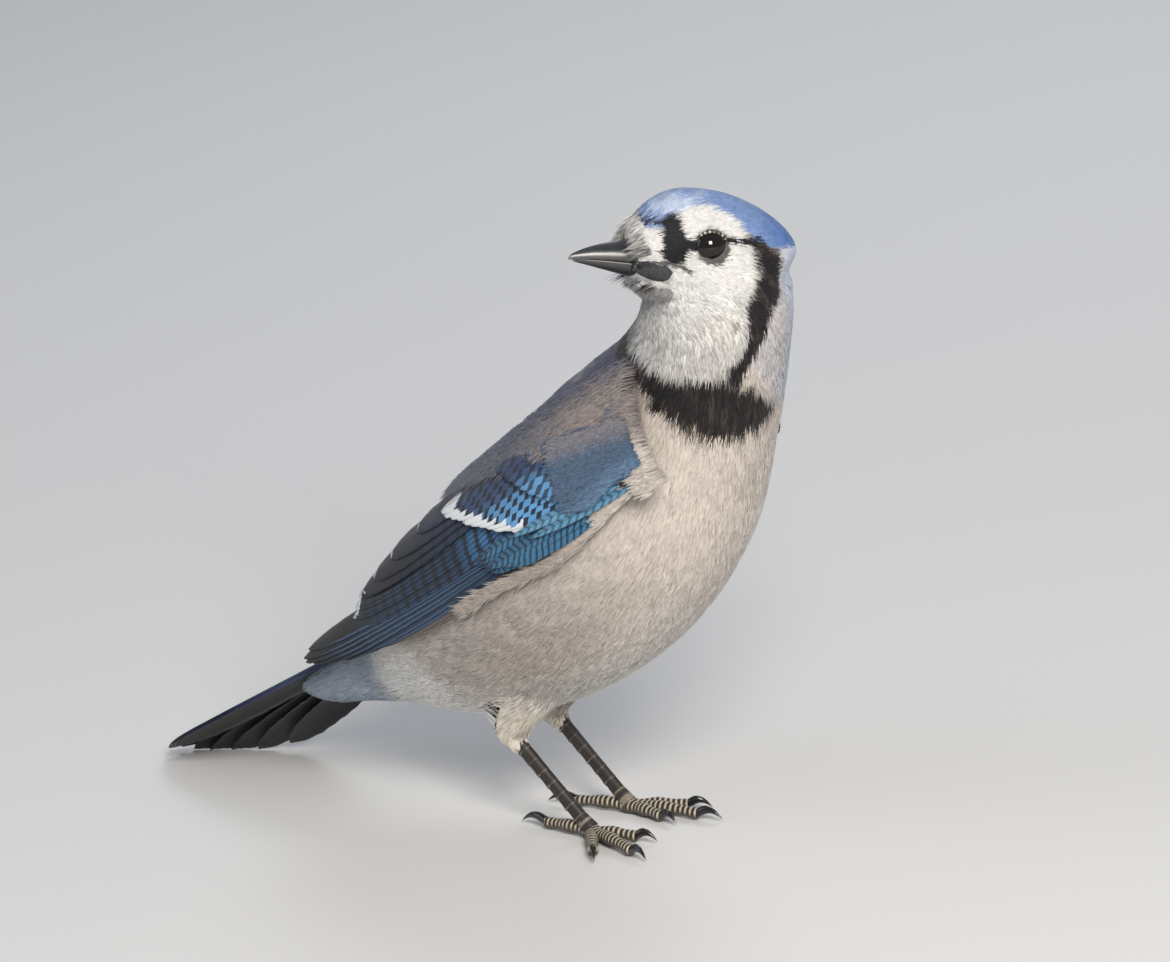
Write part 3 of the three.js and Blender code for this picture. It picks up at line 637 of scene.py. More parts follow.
def tinted(name, roughness, fine, depth, bump, specular=0.4, coat=0.0, sheen=0.0):
    """A material whose colour is the mesh's painted tint, varied by fine noise, with a bump."""
    mat, nodes, links, shader = material(name, roughness, specular, coat, sheen)
    tint = node(nodes, links, "ShaderNodeAttribute", {"attribute_name": "Tint"})
    place = node(nodes, links, "ShaderNodeTexCoord").outputs["Object"]
    grain = node(nodes, links, "ShaderNodeTexNoise", Vector=place, Scale=fine, Detail=4.0)
    light, dark, fac = 1 + depth, 1 - depth, grain.outputs["Fac"]
    spread = node(nodes, links, "ShaderNodeMapRange", Value=fac, i1=0.3, i2=0.7, i3=dark, i4=light)
    product, colour, share = {"operation": "MULTIPLY"}, tint.outputs["Color"], spread.outputs[0]
    scaled = node(nodes, links, "ShaderNodeVectorMath", product, i0=colour, i1=share)
    links.new(scaled.outputs[0], shader.inputs["Base Color"])
    if bump:
        rough = node(nodes, links, "ShaderNodeBump", Strength=0.4, Distance=bump, Height=fac)
        links.new(rough.outputs["Normal"], shader.inputs["Normal"])
    return mat


plumage = tinted("plumage", 0.62, 900, 0.08, 0.0, specular=0.2, sheen=0.1)
skin_material = tinted("down", 0.85, 1400, 0.22, 0.0004, specular=0.15)
horn = tinted("bill_horn", 0.32, 420, 0.16, 0.00006, specular=0.5, coat=0.15)
scales = tinted("leg_scales", 0.5, 1500, 0.2, 0.00008, specular=0.45)
claw_horn = tinted("claw_horn", 0.22, 700, 0.15, 0.00003, specular=0.5, coat=0.3)
lid_skin = tinted("lid_skin", 0.5, 2500, 0.35, 0.00006, specular=0.4)


def eye_material():
    mat, nodes, links, shader = material("eye_wet", 0.03, 0.5)
    place = node(nodes, links, "ShaderNodeTexCoord").outputs["Object"]
    grain = node(nodes, links, "ShaderNodeTexNoise", Vector=place, Scale=1800.0, Detail=3.0)
    ramp = node(nodes, links, "ShaderNodeValToRGB", Fac=grain.outputs["Fac"])
    ramp.color_ramp.elements[0].color = (0.003, 0.002, 0.002, 1)
    ramp.color_ramp.elements[1].color = (0.012, 0.006, 0.004, 1)
    links.new(ramp.outputs["Color"], shader.inputs["Base Color"])
    return mat


def vane_material(name, edge, bars=0.0, period=2.2, tip=None, tip_length=0.0, dark_web=0.5):
    """Colours one tier of feathers from the mesh's tint: a pale outer edge, black bars, a pale tip and barbs.

    The map Vane holds (across, millimetres from the root / 100), and Tip (across, from the tip / 100).
    """
    mat, nodes, links, shader = material(name, 0.48, 0.3, sheen=0.08)
    n = lambda kind, values=None, **inputs: node(nodes, links, kind, values, **inputs)
    calc = lambda op, a, b=0.0, c=0.0: n("ShaderNodeMath", {"operation": op}, i0=a, i1=b, i2=c).outputs[0]
    lay = lambda share, below, above: n(
        "ShaderNodeMix", {"data_type": "RGBA"}, i0=share, i6=below, i7=above
    ).outputs[2]
    step = lambda value, a, b: n(
        "ShaderNodeMapRange", {"interpolation_type": "SMOOTHSTEP"}, Value=value, i1=a, i2=b
    ).outputs[0]
    rgba = lambda c: (*map(float, c), 1.0)
    here = n("ShaderNodeSeparateXYZ", Vector=n("ShaderNodeUVMap", {"uv_map": "Vane"}).outputs[0])
    end = n("ShaderNodeSeparateXYZ", Vector=n("ShaderNodeUVMap", {"uv_map": "Tip"}).outputs[0])
    across, along, from_tip = here.outputs[0], here.outputs[1], end.outputs[1]
    tint = n("ShaderNodeAttribute", {"attribute_name": "Tint"}).outputs["Color"]
    place = n("ShaderNodeTexCoord").outputs["Object"]
    cloud = n("ShaderNodeTexNoise", Vector=place, Scale=260.0, Detail=3.0).outputs["Fac"]
    off = calc("ABSOLUTE", calc("SUBTRACT", across, 0.5))
    # barbs run out and forward from the shaft
    barb_at = calc("ADD", calc("MULTIPLY", along, 100.0), calc("MULTIPLY", off, -3.2))
    barbs = calc("SINE", calc("MULTIPLY", calc("ADD", barb_at, calc("MULTIPLY", cloud, 0.5)), 19.0))
    shade = n("ShaderNodeMapRange", Value=across, i1=0.4, i2=0.62, i3=1.0, i4=dark_web).outputs[0]
    colour = n("ShaderNodeVectorMath", {"operation": "MULTIPLY"}, i0=tint, i1=shade).outputs[0]
    rim = calc("MULTIPLY", step(across, 0.11, 0.02), step(from_tip, 0.02, 0.2))
    colour = lay(calc("MULTIPLY", rim, 0.85), colour, rgba(edge))
    if bars:
        waver = calc("ADD", barb_at, calc("MULTIPLY", cloud, 1.3))
        wave = calc("SINE", calc("MULTIPLY", waver, 6.283 / period))
        dark = calc("MULTIPLY", step(wave, 0.1, 0.6), bars)
        colour = lay(dark, colour, (0.003, 0.004, 0.008, 1))
    if tip is not None:
        ragged = calc("ADD", from_tip, calc("MULTIPLY", calc("SUBTRACT", cloud, 0.5), 0.06))
        colour = lay(step(ragged, tip_length / 100, tip_length / 100 - 0.006), colour, rgba(tip))
    shaft = step(off, 0.035, 0.015)
    colour = lay(calc("MULTIPLY", shaft, 0.6), colour, (0.006, 0.006, 0.008, 1))
    fine = n("ShaderNodeMapRange", Value=barbs, i1=-1.0, i2=1.0, i3=0.86, i4=1.1).outputs[0]
    scaled = n("ShaderNodeVectorMath", {"operation": "MULTIPLY"}, i0=colour, i1=fine).outputs[0]
    links.new(scaled, shader.inputs["Base Color"])
    relief = calc("ADD", barbs, calc("MULTIPLY", shaft, 4.0))
    bump = n("ShaderNodeBump", Strength=0.35, Distance=0.00008, Height=relief)
    links.new(bump.outputs["Normal"], shader.inputs["Normal"])
    return mat


PALE_TIP = srgb(222, 224, 226)
TIERS = {
    "primary": vane_material("vane_primary", srgb(70, 104, 138), dark_web=0.3),
    "outer_primary": vane_material("vane_outer_primary", srgb(128, 118, 108), dark_web=0.3),
    "secondary": vane_material("vane_secondary", srgb(40, 72, 104), 0.85, 4.6, PALE_TIP, 2.6, 0.3),
    "tertial": vane_material("vane_tertial", srgb(24, 36, 58), 0.7, 5.2, PALE_TIP, 1.4, 0.8),
    "primary_covert": vane_material("vane_primary_covert", srgb(66, 118, 152), 0.75, 2.2, dark_web=0.7),
    "streak": vane_material("vane_streak", srgb(108, 152, 176), 0.55, 2.6, dark_web=0.8),
    "greater": vane_material("vane_greater", srgb(40, 70, 104), 0.95, 4.4, PALE_TIP, 8.4, 0.55),
    "median": vane_material("vane_median", srgb(34, 52, 84), 0.8, 4.4, dark_web=0.7),
    "lesser": vane_material("vane_lesser", srgb(84, 94, 118), dark_web=0.8),
    "crest": vane_material("vane_crest", CROWN, dark_web=0.9),
    "rectrix": vane_material("vane_rectrix", srgb(176, 188, 204), 0.6, 3.6, PALE_TIP, 2.4, 0.8),
    "rectrix_inner": vane_material("vane_rectrix_inner", srgb(60, 92, 138), 0.75, 3.6, dark_web=0.9),
    "underside": vane_material("vane_underside", srgb(58, 60, 66), dark_web=0.9),
}
TIER_TINTS = {
    "primary": srgb(24, 38, 58),
    "outer_primary": srgb(62, 62, 66),
    "secondary": srgb(54, 104, 148),
    "tertial": srgb(26, 40, 66),
    "primary_covert": srgb(56, 112, 148),
    "streak": srgb(92, 144, 176),
    "greater": srgb(88, 146, 192),
    "median": srgb(92, 142, 186),
    "lesser": srgb(76, 94, 116),
    "crest": CREST,
    "rectrix": srgb(52, 88, 138),
    "rectrix_inner": srgb(40, 70, 116),
    "underside": srgb(18, 18, 21),
}


# Vanes
BLUNT = line(
    [(0, 0.28), (0.06, 0.5), (0.2, 0.88), (0.45, 1), (0.72, 0.97), (0.88, 0.78), (0.96, 0.48), (1, 0.06)]
)
POINTED = line(
    [(0, 0.35), (0.1, 0.6), (0.3, 0.95), (0.55, 1), (0.75, 0.82), (0.9, 0.5), (0.97, 0.26), (1, 0.05)]
)
ROUND = line(
    [(0, 0.4), (0.15, 0.7), (0.4, 0.98), (0.62, 1), (0.8, 0.9), (0.92, 0.66), (0.98, 0.35), (1, 0.06)]
)


class Vanes:
    """Collects feather vanes into one mesh with its maps and materials."""

    def __init__(self):
        self.verts, self.faces, self.tiers, self.tints = [], [], [], []
        self.maps = {"OFBake": [], "Vane": [], "Tip": []}
        self.start, self.count = 0, 0

    def add(self, place, length, shape, tier, under=None, rows=44, columns=8, thick=0.26, tint=None):
        """place(t, k) gives points and normals at t along and k from -1 to 1 across, for arrays."""
        tt, kk = np.meshgrid(np.linspace(0, 1, rows) ** 0.92, np.linspace(-1, 1, columns), indexing="ij")
        nick = 1 + 0.02 * np.sin(tt * 97 + 13 * self.count) * (np.abs(kk) > 0.9)
        p, n = place(tt, kk * shape(tt) * nick)
        arch = 0.25 * (1 - kk**2) * shape(tt)
        shaft = 0.16 * np.exp(-((kk / 0.14) ** 2)) * (1 - 0.7 * tt)
        half = thick / 2 * (1 - 0.55 * np.abs(kk)) * (1 - 0.4 * tt)
        count, under = rows * columns, under or tier
        verts = [(p + n * off[..., None]).reshape(-1, 3) for off in (arch + shaft + half, arch - half)]
        own = TIER_TINTS[tier] if tint is None else tint(tt)
        self.tints.append(np.broadcast_to(own, tt.shape + (3,)).reshape(-1, 3))
        self.tints.append(np.broadcast_to(TIER_TINTS[under], (count, 3)))
        index = np.arange(count).reshape(rows, columns)
        top = np.stack([index[:-1, :-1], index[1:, :-1], index[1:, 1:], index[:-1, 1:]], -1).reshape(-1, 4)
        bottom = top[:, ::-1] + count
        rim = np.concatenate([index[0, :-1], index[:-1, -1], index[-1, :0:-1], index[:0:-1, 0]])
        after = np.roll(rim, -1)
        wall = np.stack([rim, after, after + count, rim + count], -1)
        faces = np.concatenate([top, bottom, wall])
        self.tiers += [tier] * len(top) + [under] * len(bottom) + [tier] * len(wall)
        verts = np.concatenate(verts)
        if volume(verts, faces) < 0:
            faces = faces[:, ::-1]
        cx, cy = self.count % 8, self.count // 8
        ids, below = faces.ravel() % count, faces.ravel() >= count
        u, v = (kk / 2 + 0.5).ravel()[ids], tt.ravel()[ids]
        across = (cx + 0.02 + 0.46 * u + 0.5 * below) / 8
        along = (cy + 0.03 + 0.94 * v) / 8 % 1.0
        for name, uv in (
            ("OFBake", (across, along)),
            ("Vane", (u, v * length / 100)),
            ("Tip", (u, (1 - v) * length / 100)),
        ):
            self.maps[name].append(np.stack(uv, -1))
        self.verts.append(verts)
        self.faces.append(faces + self.start)
        self.start += 2 * count
        self.count += 1

    def build(self, name):
        mesh = new_mesh(name, np.concatenate(self.verts), np.concatenate(self.faces))
        for key, blocks in self.maps.items():
            layer = mesh.uv_layers.new(name=key)
            layer.data.foreach_set("uv", np.concatenate(blocks).astype(np.float32).ravel())
        names = sorted(set(self.tiers))
        obj = finish_object(name, mesh, TIERS[names[0]], np.concatenate(self.tints))
        for other in names[1:]:
            mesh.materials.append(TIERS[other])
        chosen = np.array([names.index(tier) for tier in self.tiers], np.int32)
        mesh.polygons.foreach_set("material_index", chosen)
        mesh.update()
        return obj


def feather_row(tier, shape, count, root_a, root_b, tip_a, tip_b, half, lift, tilt):
    """A row of feathers whose roots and tips run evenly from a to b in the wing's own coordinates."""
    rows = []
    for a in np.linspace(0, 1, count):
        root = mix(np.array(root_a, float), np.array(root_b, float), a)
        tip = mix(np.array(tip_a, float), np.array(tip_b, float), a)
        rows.append((tier, shape, root, tip, half, lift, tilt, a))
    return rows


def wing_feathers():
    """The feathers of a folded wing: tier, shape, root, tip, half width, lift, tilt and place in the row."""
    out, tertials = [], []
    tips = [(98, -4.3), (107, -3.5), (115, -2.4), (122, -0.8), (129, 1.6)]
    tips += [(134, 3.4), (137, 4.8), (138, 6.0), (136, 7.4)]
    for i, tip in enumerate(tips):
        tier = "outer_primary" if i < 2 else "primary"
        root = np.array((42, -3.6 + 0.75 * i))
        shape = POINTED if i < 4 else ROUND
        out.append((tier, shape, root, np.array(tip, float), 3.3, -0.9 + 0.05 * i, 0.3, i / 8))
    for i, tip in enumerate([(107, 11.6), (102, 13.6), (94, 15.8), (82, 18.0)]):
        root = np.array((44, 13.4 + 1.9 * i))
        tertials.append(("tertial", BLUNT, root, np.array(tip), 4.6, 0.25 + 0.12 * i, 0.2, i / 3))
    covert, streak = "primary_covert", "streak"
    out += feather_row("secondary", BLUNT, 8, (40, 3.2), (40, 12.5), (114, 4.6), (110, 12.4), 3.4, -0.35, 0.3)
    out += tertials
    out += feather_row(covert, POINTED, 6, (20, -4.4), (22, 1), (54, -4.2), (58, 1.4), 2.0, 0.0, 0.28)
    out += feather_row("greater", BLUNT, 11, (15, -0.6), (31, 16.5), (42, 3.2), (69, 16.6), 2.4, 0.85, 0.2)
    out += feather_row("median", ROUND, 9, (8, 0.6), (22, 15.4), (25, 3.6), (44, 17.6), 2.3, 1.45, 0.18)
    out += feather_row(covert, ROUND, 3, (15, -5.6), (17, -2.8), (46, -4.6), (53, -2.0), 1.9, 0.9, 0.2)
    out += feather_row(streak, POINTED, 2, (4, -3.4), (6, -1.6), (36, -1.4), (41, 0.9), 1.35, 1.5, 0.2)
    for row in range(3):
        start = 10 - 5.0 * row
        out += feather_row(
            "lesser", ROUND, 8, (start - 4, 0.0), (start + 4, 13.4 - 1.2 * row), (start + 6, 1.8),
            (start + 16, 16 - 1.2 * row), 2.2, 1.45 + 0.1 * row, 0.14,
        )
    return out


def wing_tint(tier, s, place):
    """How a feather's colour changes along the wing and from the lowest of its row to the highest."""
    colour = np.broadcast_to(TIER_TINTS[tier], np.shape(s) + (3,))
    if tier == "secondary":
        return blend(colour, srgb(13, 18, 30), smooth(s, 53, 68) * (0.9 + 0.1 * place))
    if tier == "tertial":
        return blend(colour, srgb(12, 14, 22), smooth(s, 64, 90))
    if tier in ("greater", "median"):
        return blend(colour, srgb(40, 62, 100), np.full(np.shape(s), float(smooth(place, 0.45, 0.8))))
    if tier in ("primary", "outer_primary"):
        return blend(colour, srgb(9, 10, 13), smooth(s, 98, 116))
    if tier == "primary_covert":
        return blend(colour, srgb(22, 34, 48), smooth(s, 50, 58) * 0.8)
    return colour


def build_wing(which, side):
    vanes = Vanes()
    noise = np.random.default_rng(7 if side > 0 else 5)
    for tier, shape, root, tip, half, lift, tilt, row in wing_feathers():
        if side > 0 and root[0] < 6 and tier in ("lesser", "streak"):
            continue
        root = root + noise.normal(0, 0.12, 2)
        tip = tip + noise.normal(0, 0.22, 2)
        bright = 1 + noise.normal(0, 0.07)
        way = tip - root
        length = float(np.hypot(*way))
        way = way / length

        def place(t, k, root=root, tip=tip, way=way, half=half, lift=lift, tilt=tilt):
            s = mix(root[0], tip[0], t) - way[1] * k * half
            m = mix(root[1], tip[1], t) + way[0] * k * half
            m = np.minimum(m, WING_TOP(s) - 2.4 - (k < 0))
            off = lift - 0.9 * (1 - t) ** 2 - (k + 1) * half * tilt * 0.9
            n = wing_normal(s, m, side)
            return on_wing(s, m, side) + n * off[..., None], n

        def tint(t, tier=tier, root=root, tip=tip, row=row, bright=bright):
            return wing_tint(tier, mix(root[0], tip[0], t), row) * bright

        rows = int(np.clip(length * 0.6, 16, 60))
        vanes.add(place, length, shape, tier, "underside" if length > 40 else None, rows, tint=tint)
    obj = vanes.build("wing_" + which + "_vanes")
    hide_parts("wing_" + which)
    return obj


def build_tail():
    vanes = Vanes()
    for side in (-1, 1):
        spread = TAIL_SPREAD["far" if side > 0 else "near"]
        for i in range(6):
            roll = spread["roll"] + spread["fall"] * min(1, 0.4 + i / 3)
            across, normal = turned(tail_flat, roll), turned(tail_up, roll)
            depth = spread["stack"] * (i + (0.5 if side > 0 else 0))
            root = TAIL_ROOT - tail_along * 6 + tail_flat * side * (0.6 + 0.8 * i)
            root = root + tail_up * (-0.6 - 0.35 * i)
            tip = TAIL_TIP - tail_along * spread["shorter"] * i * i
            tip = tip + across * side * (1.5 + spread["step"] * i) - normal * depth

            def place(t, k, root=root, tip=tip, across=across, normal=normal, side=side):
                centre = root + (tip - root) * t[..., None]
                wide = unit(mix(tail_flat, across, np.sqrt(t)[..., None]))
                n = np.broadcast_to(normal, centre.shape)
                p = centre + wide * (side * k * 5.4)[..., None]
                p = p - n * (0.035 * (k * 5.4) ** 2)[..., None]
                p[..., 2] = np.maximum(p[..., 2], 0.25)
                return p, n

            tier, length = "rectrix" if i >= 4 else "rectrix_inner", float(np.linalg.norm(tip - root))
            vanes.add(place, length, BLUNT, tier, under="underside", rows=60, columns=10)
    obj = vanes.build("tail_vanes")
    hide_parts("tail")
    return obj


# Skin
def build_skin():
    parts = [
        tube(body_points(*grid(110, 96), -BODY_DEPTH)),
        tube(skull_points(*grid(70, 64), -HEAD_DEPTH)),
        thigh_tube("right", -0.8),
        thigh_tube("left", -0.8),
        tail_core_tube(-0.7),
    ]
    work = linked("skin_work", new_mesh("skin", *join(parts)))
    remesh = work.modifiers.new("remesh", "REMESH")
    remesh.mode, remesh.voxel_size = "VOXEL", VOXEL * MM
    soften = work.modifiers.new("soften", "SMOOTH")
    soften.factor, soften.iterations = 0.5, SOFTENING
    graph = bpy.context.evaluated_depsgraph_get()
    made = bpy.data.meshes.new_from_object(work.evaluated_get(graph))
    bpy.data.objects.remove(work)
    co = np.zeros(len(made.vertices) * 3)
    made.vertices.foreach_get("co", co)
    p = co.reshape(-1, 3) / MM - SHIFT
    # the skin stays under the folded wings
    s, m = wing_coordinates(p)
    side = np.sign(p[:, 1])
    y = on_wing(s, m, 1)[:, 1]
    inside = smooth(s, -6, 2) * (1 - smooth(s, 70, 95)) * smooth(m - WING_LOW(s), -3, 1)
    inside = inside * (1 - smooth(m - np.minimum(WING_CORE(s) + 4, WING_TOP(s) - 1), -1, 2))
    room = np.abs(p[:, 1]) - (y - 3.2)
    p[:, 1] -= side * np.maximum(room, 0) * inside
    # a notch under the crest's tip
    f, l, u = to_head(p)
    notch = 2.6 * np.exp(-(((u + 2.5) / 4) ** 2)) * smooth(-f, 13, 20) * (np.abs(l) < 20)
    p += forward * notch[:, None]
    made.vertices.foreach_set("co", to_row(p).ravel())
    made.update()
    # the skin takes the markings a little darker, and much darker under the throat's long feathers: painted
    # shade in the gaps
    tint = markings(p) * (0.85 - 0.6 * throat_gap_shade(p))[:, None]
    obj = finish_object("skin", made, skin_material, tint)
    made.name = "skin"
    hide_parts("torso", "neck", "head", "thigh_right", "thigh_left")
    return obj, p


def skin_map(p):
    """Where a point of the skin lies on its unwrap: body, head and legs each have a rectangle."""
    t, angle = body_parameters(p)
    f, l, u = to_head(p)
    uv = np.stack([0.02 + 0.6 * (angle + 180) / 360, 0.02 + 0.96 * t], -1)
    round_head = np.arctan2(l, u) / math.pi * 0.5 + 0.5
    head = np.stack([0.66 + 0.3 * round_head, 0.35 + 0.6 * np.clip((f + 25) / 45, 0, 1)], -1)
    on_head = u + 0.35 * f > HEAD_SPLIT
    uv = np.where(on_head[:, None], head, uv)
    low_leg = p[:, 2] < 28.5
    leg_across = 0.66 + 0.13 * (p[:, 1] > -2) + 0.004 * (p[:, 0] + 30)
    leg_uv = np.stack([leg_across, 0.02 + 0.01 * (p[:, 2] - 15)], -1)
    return np.where((low_leg & (np.abs(p[:, 0] + 20) < 14))[:, None], leg_uv, uv)


# Coat
BLADE_FACES = np.array([(0, 1, 3), (0, 3, 2), (0, 2, 1), (4, 3, 1), (4, 2, 3), (4, 1, 2)])
BLADE_SPOTS = np.array([(0.0015, 0), (0, 0.0015), (0.003, 0.0015), (0.0015, 0.0015), (0.0015, 0.003)])


def blade_mesh(name, root, mid, tip, normal, width, thick, tints, uv, mat, slot, fullness=0.35):
    """Many thin closed blades as one mesh: a root, a middle with a low ridge, and a point.

    Their shading leans towards the plumage's own surface by 1 - fullness.
    """
    count = len(root)
    side = unit(np.cross(normal, tip - root))
    w, h = width[:, None] / 2, thick[:, None]
    corners = np.stack([root, mid - side * w, mid + side * w, mid + normal * h, tip], 1)
    faces = BLADE_FACES[None] + 5 * np.arange(count)[:, None, None]
    mesh = bpy.data.meshes.new(name)
    mesh.vertices.add(5 * count)
    mesh.vertices.foreach_set("co", to_row(corners.reshape(-1, 3)).astype(np.float32).ravel())
    mesh.loops.add(18 * count)
    mesh.loops.foreach_set("vertex_index", faces.astype(np.int32).ravel())
    mesh.polygons.add(6 * count)
    mesh.polygons.foreach_set("loop_start", (3 * np.arange(6 * count)).astype(np.int32))
    mesh.update(calc_edges=True)
    layer = mesh.uv_layers.new(name="OFBake")
    places = uv[:, None] + BLADE_SPOTS[BLADE_FACES].reshape(1, 18, 2)
    layer.data.foreach_set("uv", places.astype(np.float32).ravel())
    colours = tints[:, [0, 1, 1, 1, 2]].reshape(-1, 3)
    obj = finish_object(name, mesh, mat, colours)
    ahead = unit(tip - root)
    lean = side * fullness
    ways = np.stack([normal, normal - lean, normal + lean, normal, normal + ahead * 0.3], 1)
    mesh.normals_split_custom_set_from_vertices(unit(ways.reshape(-1, 3)).tolist())
    return obj


def lie(p, n):
    """The way the coat lies at points with normals n."""
    f, _, u = to_head(p)
    t, _ = body_parameters(p)
    _, way, _, _ = spine(t)
    from_bill = p - in_head(BILL["root"] + 1.0, 0, BILL["line"] + 3.5)
    on_head = smooth(u + 0.35 * f, -20, -8)
    flow = blend(-way, unit(from_bill), on_head)
    # the head's turn winds the neck's feathers a little
    twist = np.cross(Z_AXIS, unit(p - (41.0, 2.4, 0)))
    neck = smooth(p[:, 2], 106, 118) * (1 - smooth(p[:, 2], 132, 142))
    flow = flow + 0.25 * twist * neck[:, None]
    # belly and thighs hang a little, the vent sweeps to the tail
    low = (1 - smooth(p[:, 2], 24, 40)) * smooth(p[:, 0], -34, -26)
    flow = flow + np.array([-0.45, 0, -0.75]) * low[:, None]
    tail = 1 - smooth(p[:, 0], -74, -62)
    flow = blend(flow, tail_along, tail)
    flow = flow - (flow * n).sum(1)[:, None] * n
    return unit(flow)


def coat_sizes(p):
    """(length, width, lift, density) of the coat at points."""
    f, _, u = to_head(p)
    t, angle = body_parameters(p)
    head = smooth(u + 0.35 * f, -16, -8)
    face = head * smooth(f, -12, 6)
    length = mix(10.0, 5.2, smooth(t, 0.62, 0.85))
    length = length + 2.0 * (1 - smooth(t, 0.15, 0.3)) * (angle < 10)
    length = mix(length, 4.2, head)
    length = mix(length, 2.5, face * smooth(f, 2, 13))
    length = mix(length, 5.0, head * (u > CROWN_LINE(f)))
    legs = (p[:, 2] < 26) & (p[:, 0] > -36)
    length = np.where(legs, 3.6, length)
    length = np.where(p[:, 0] < -70, 9.5, length)
    width = mix(0.46, 0.32, head)
    width = np.where(legs, 0.4, width)
    lift = mix(0.55, 0.32, head)
    density = mix(1.0, 2.6, smooth(t, 0.6, 0.9))
    density = mix(density, 4.2, head)
    density = mix(density, 6.5, face)
    density = np.where(legs, 3.0, density)
    dorsal = (angle > 15) & (angle < 165) & (t < 0.7)
    density = np.where(dorsal, density * 0.8, density)
    return length, width, lift, density


def build_coat(skin, skin_points):
    mesh = skin.data
    mesh.calc_loop_triangles()
    tris = np.zeros(len(mesh.loop_triangles) * 3, np.int32)
    mesh.loop_triangles.foreach_get("vertices", tris)
    tris = tris.reshape(-1, 3)
    a, b, c = (skin_points[tris[:, k]] for k in range(3))
    cross = np.cross(b - a, c - a)
    area = np.linalg.norm(cross, axis=1) / 2
    centre = (a + b + c) / 3
    _, _, _, density = coat_sizes(centre)
    # none where the wings, the bill, the gape's wedge or the eyes cover the skin
    s, m = wing_coordinates(centre)
    covered = (s > 4) & (s < 66) & (m > WING_LOW(s) + 3.5) & (m < WING_CORE(s) - 2)
    density = np.where(covered & (np.abs(centre[:, 1]) > 8), 0.0, density)
    f, l, u = to_head(centre)
    density = np.where((f > BILL["root"] + 1.2) & (np.abs(u + 3) < 4), 0.0, density)
    wedge = (f > 10.8) & (f < 17.5) & (u < -1.5) & (u > -6.4) & (np.abs(l) > 2)
    density = np.where(wedge, 0.0, density)
    for k in (1, -1):
        out = unit(left * k + 0.12 * forward)
        q = centre - in_head(EYE["at"][0], k * EYE["at"][1], EYE["at"][2])
        depth = q @ out
        radial = np.linalg.norm(q - depth[:, None] * out, axis=1)
        density = np.where((depth > 0) & (radial < EYE_CLEAR), 0.0, density)
    weight = area * density
    pick = rng.choice(len(tris), BLADES, p=weight / weight.sum())
    r1, r2 = np.sqrt(rng.random(BLADES))[:, None], rng.random(BLADES)[:, None]
    root = a[pick] * (1 - r1) + b[pick] * r1 * (1 - r2) + c[pick] * r1 * r2
    normal = unit(cross[pick])
    tree = BVHTree.FromPolygons(triples(skin_points), corners(tris))
    length, width, lift, _ = coat_sizes(root)
    flow = lie(root, normal)
    side = np.cross(normal, flow)
    flow = unit(flow + side * rng.normal(0, 0.13, (BLADES, 1)) + side * (0.25 * noise3(root, 9, 21))[:, None])
    length = length * rng.uniform(0.72, 1.2, BLADES)
    # clumps: blades lean towards the middle of their own small feather
    centres = root[rng.choice(BLADES, BLADES // 34, replace=False)]
    clumps = KDTree(len(centres))
    for i, v in enumerate(centres):
        clumps.insert(v, i)
    clumps.balance()
    mine = np.array([clumps.find(v)[1] for v in root])
    lean = centres[mine] - root
    lean = lean - (lean * normal).sum(1)[:, None] * normal
    lean = np.clip(np.linalg.norm(lean, axis=1, keepdims=True), 0, 3.0) * unit(lean)
    shade = 1 + 0.04 * rng.standard_normal(len(centres))[mine]
    mid = root + flow * (0.5 * length)[:, None] + lean * 0.18
    tip = root + flow * length[:, None] + lean * 0.5
    height = lift * rng.uniform(0.4, 1.5, BLADES)
    snapped = []
    for points, share in ((mid, 0.75), (tip, 1.25)):
        near, out = np.empty_like(points), np.empty_like(points)
        for i, v in enumerate(points):
            place, n, _, _ = tree.find_nearest(v)
            near[i] = place
            out[i] = n
        snapped.append(near + out * (height * share + 0.12)[:, None])
    mid, tip = snapped
    # a blade takes the colour of the place that its outer half covers
    base = markings(mix(mid, tip, 0.35) + rng.normal(0, 0.3, root.shape))
    own = 1 + 0.035 * rng.standard_normal(BLADES)
    # on the throat, three blades in ten are darkened by up to half: painted shade between the long feathers
    streak = throat_gap_shade(root)
    own = own * (1 - 0.5 * streak * (rng.random(BLADES) < 0.3)) * (1 + 2.5 * streak * (shade - 1))
    base = np.clip(base * (own * shade)[:, None], 0.002, 0.95)
    f, l, u = to_head(root)
    deep = mix(0.86, 0.74, smooth(u + 0.35 * f, -24, -10))[:, None]
    tints = np.stack([base * deep, base * 0.97, base * 1.06], 1)
    uv = np.clip(skin_map(root), 0, 0.996)
    # pieces by place, each under the limit
    t, _ = body_parameters(root)
    key = np.where(u + 0.35 * f > HEAD_SPLIT, 2 + f / 100, t)
    order = np.argsort(key)
    # pieces by place, each of at most PIECE_BLADES blades
    start = root - normal * 0.25
    for number, ids in enumerate(np.array_split(order, math.ceil(BLADES / PIECE_BLADES))):
        place = np.median(key[ids])
        slot = "face" if place > 1.5 else ("nape" if place > 0.72 else "breast")
        own = [v[ids] for v in (start, mid, tip, normal, width, width * 0.3, tints, uv)]
        blade_mesh("coat_%d" % (number + 1), *own, plumage, slot, 0.25)


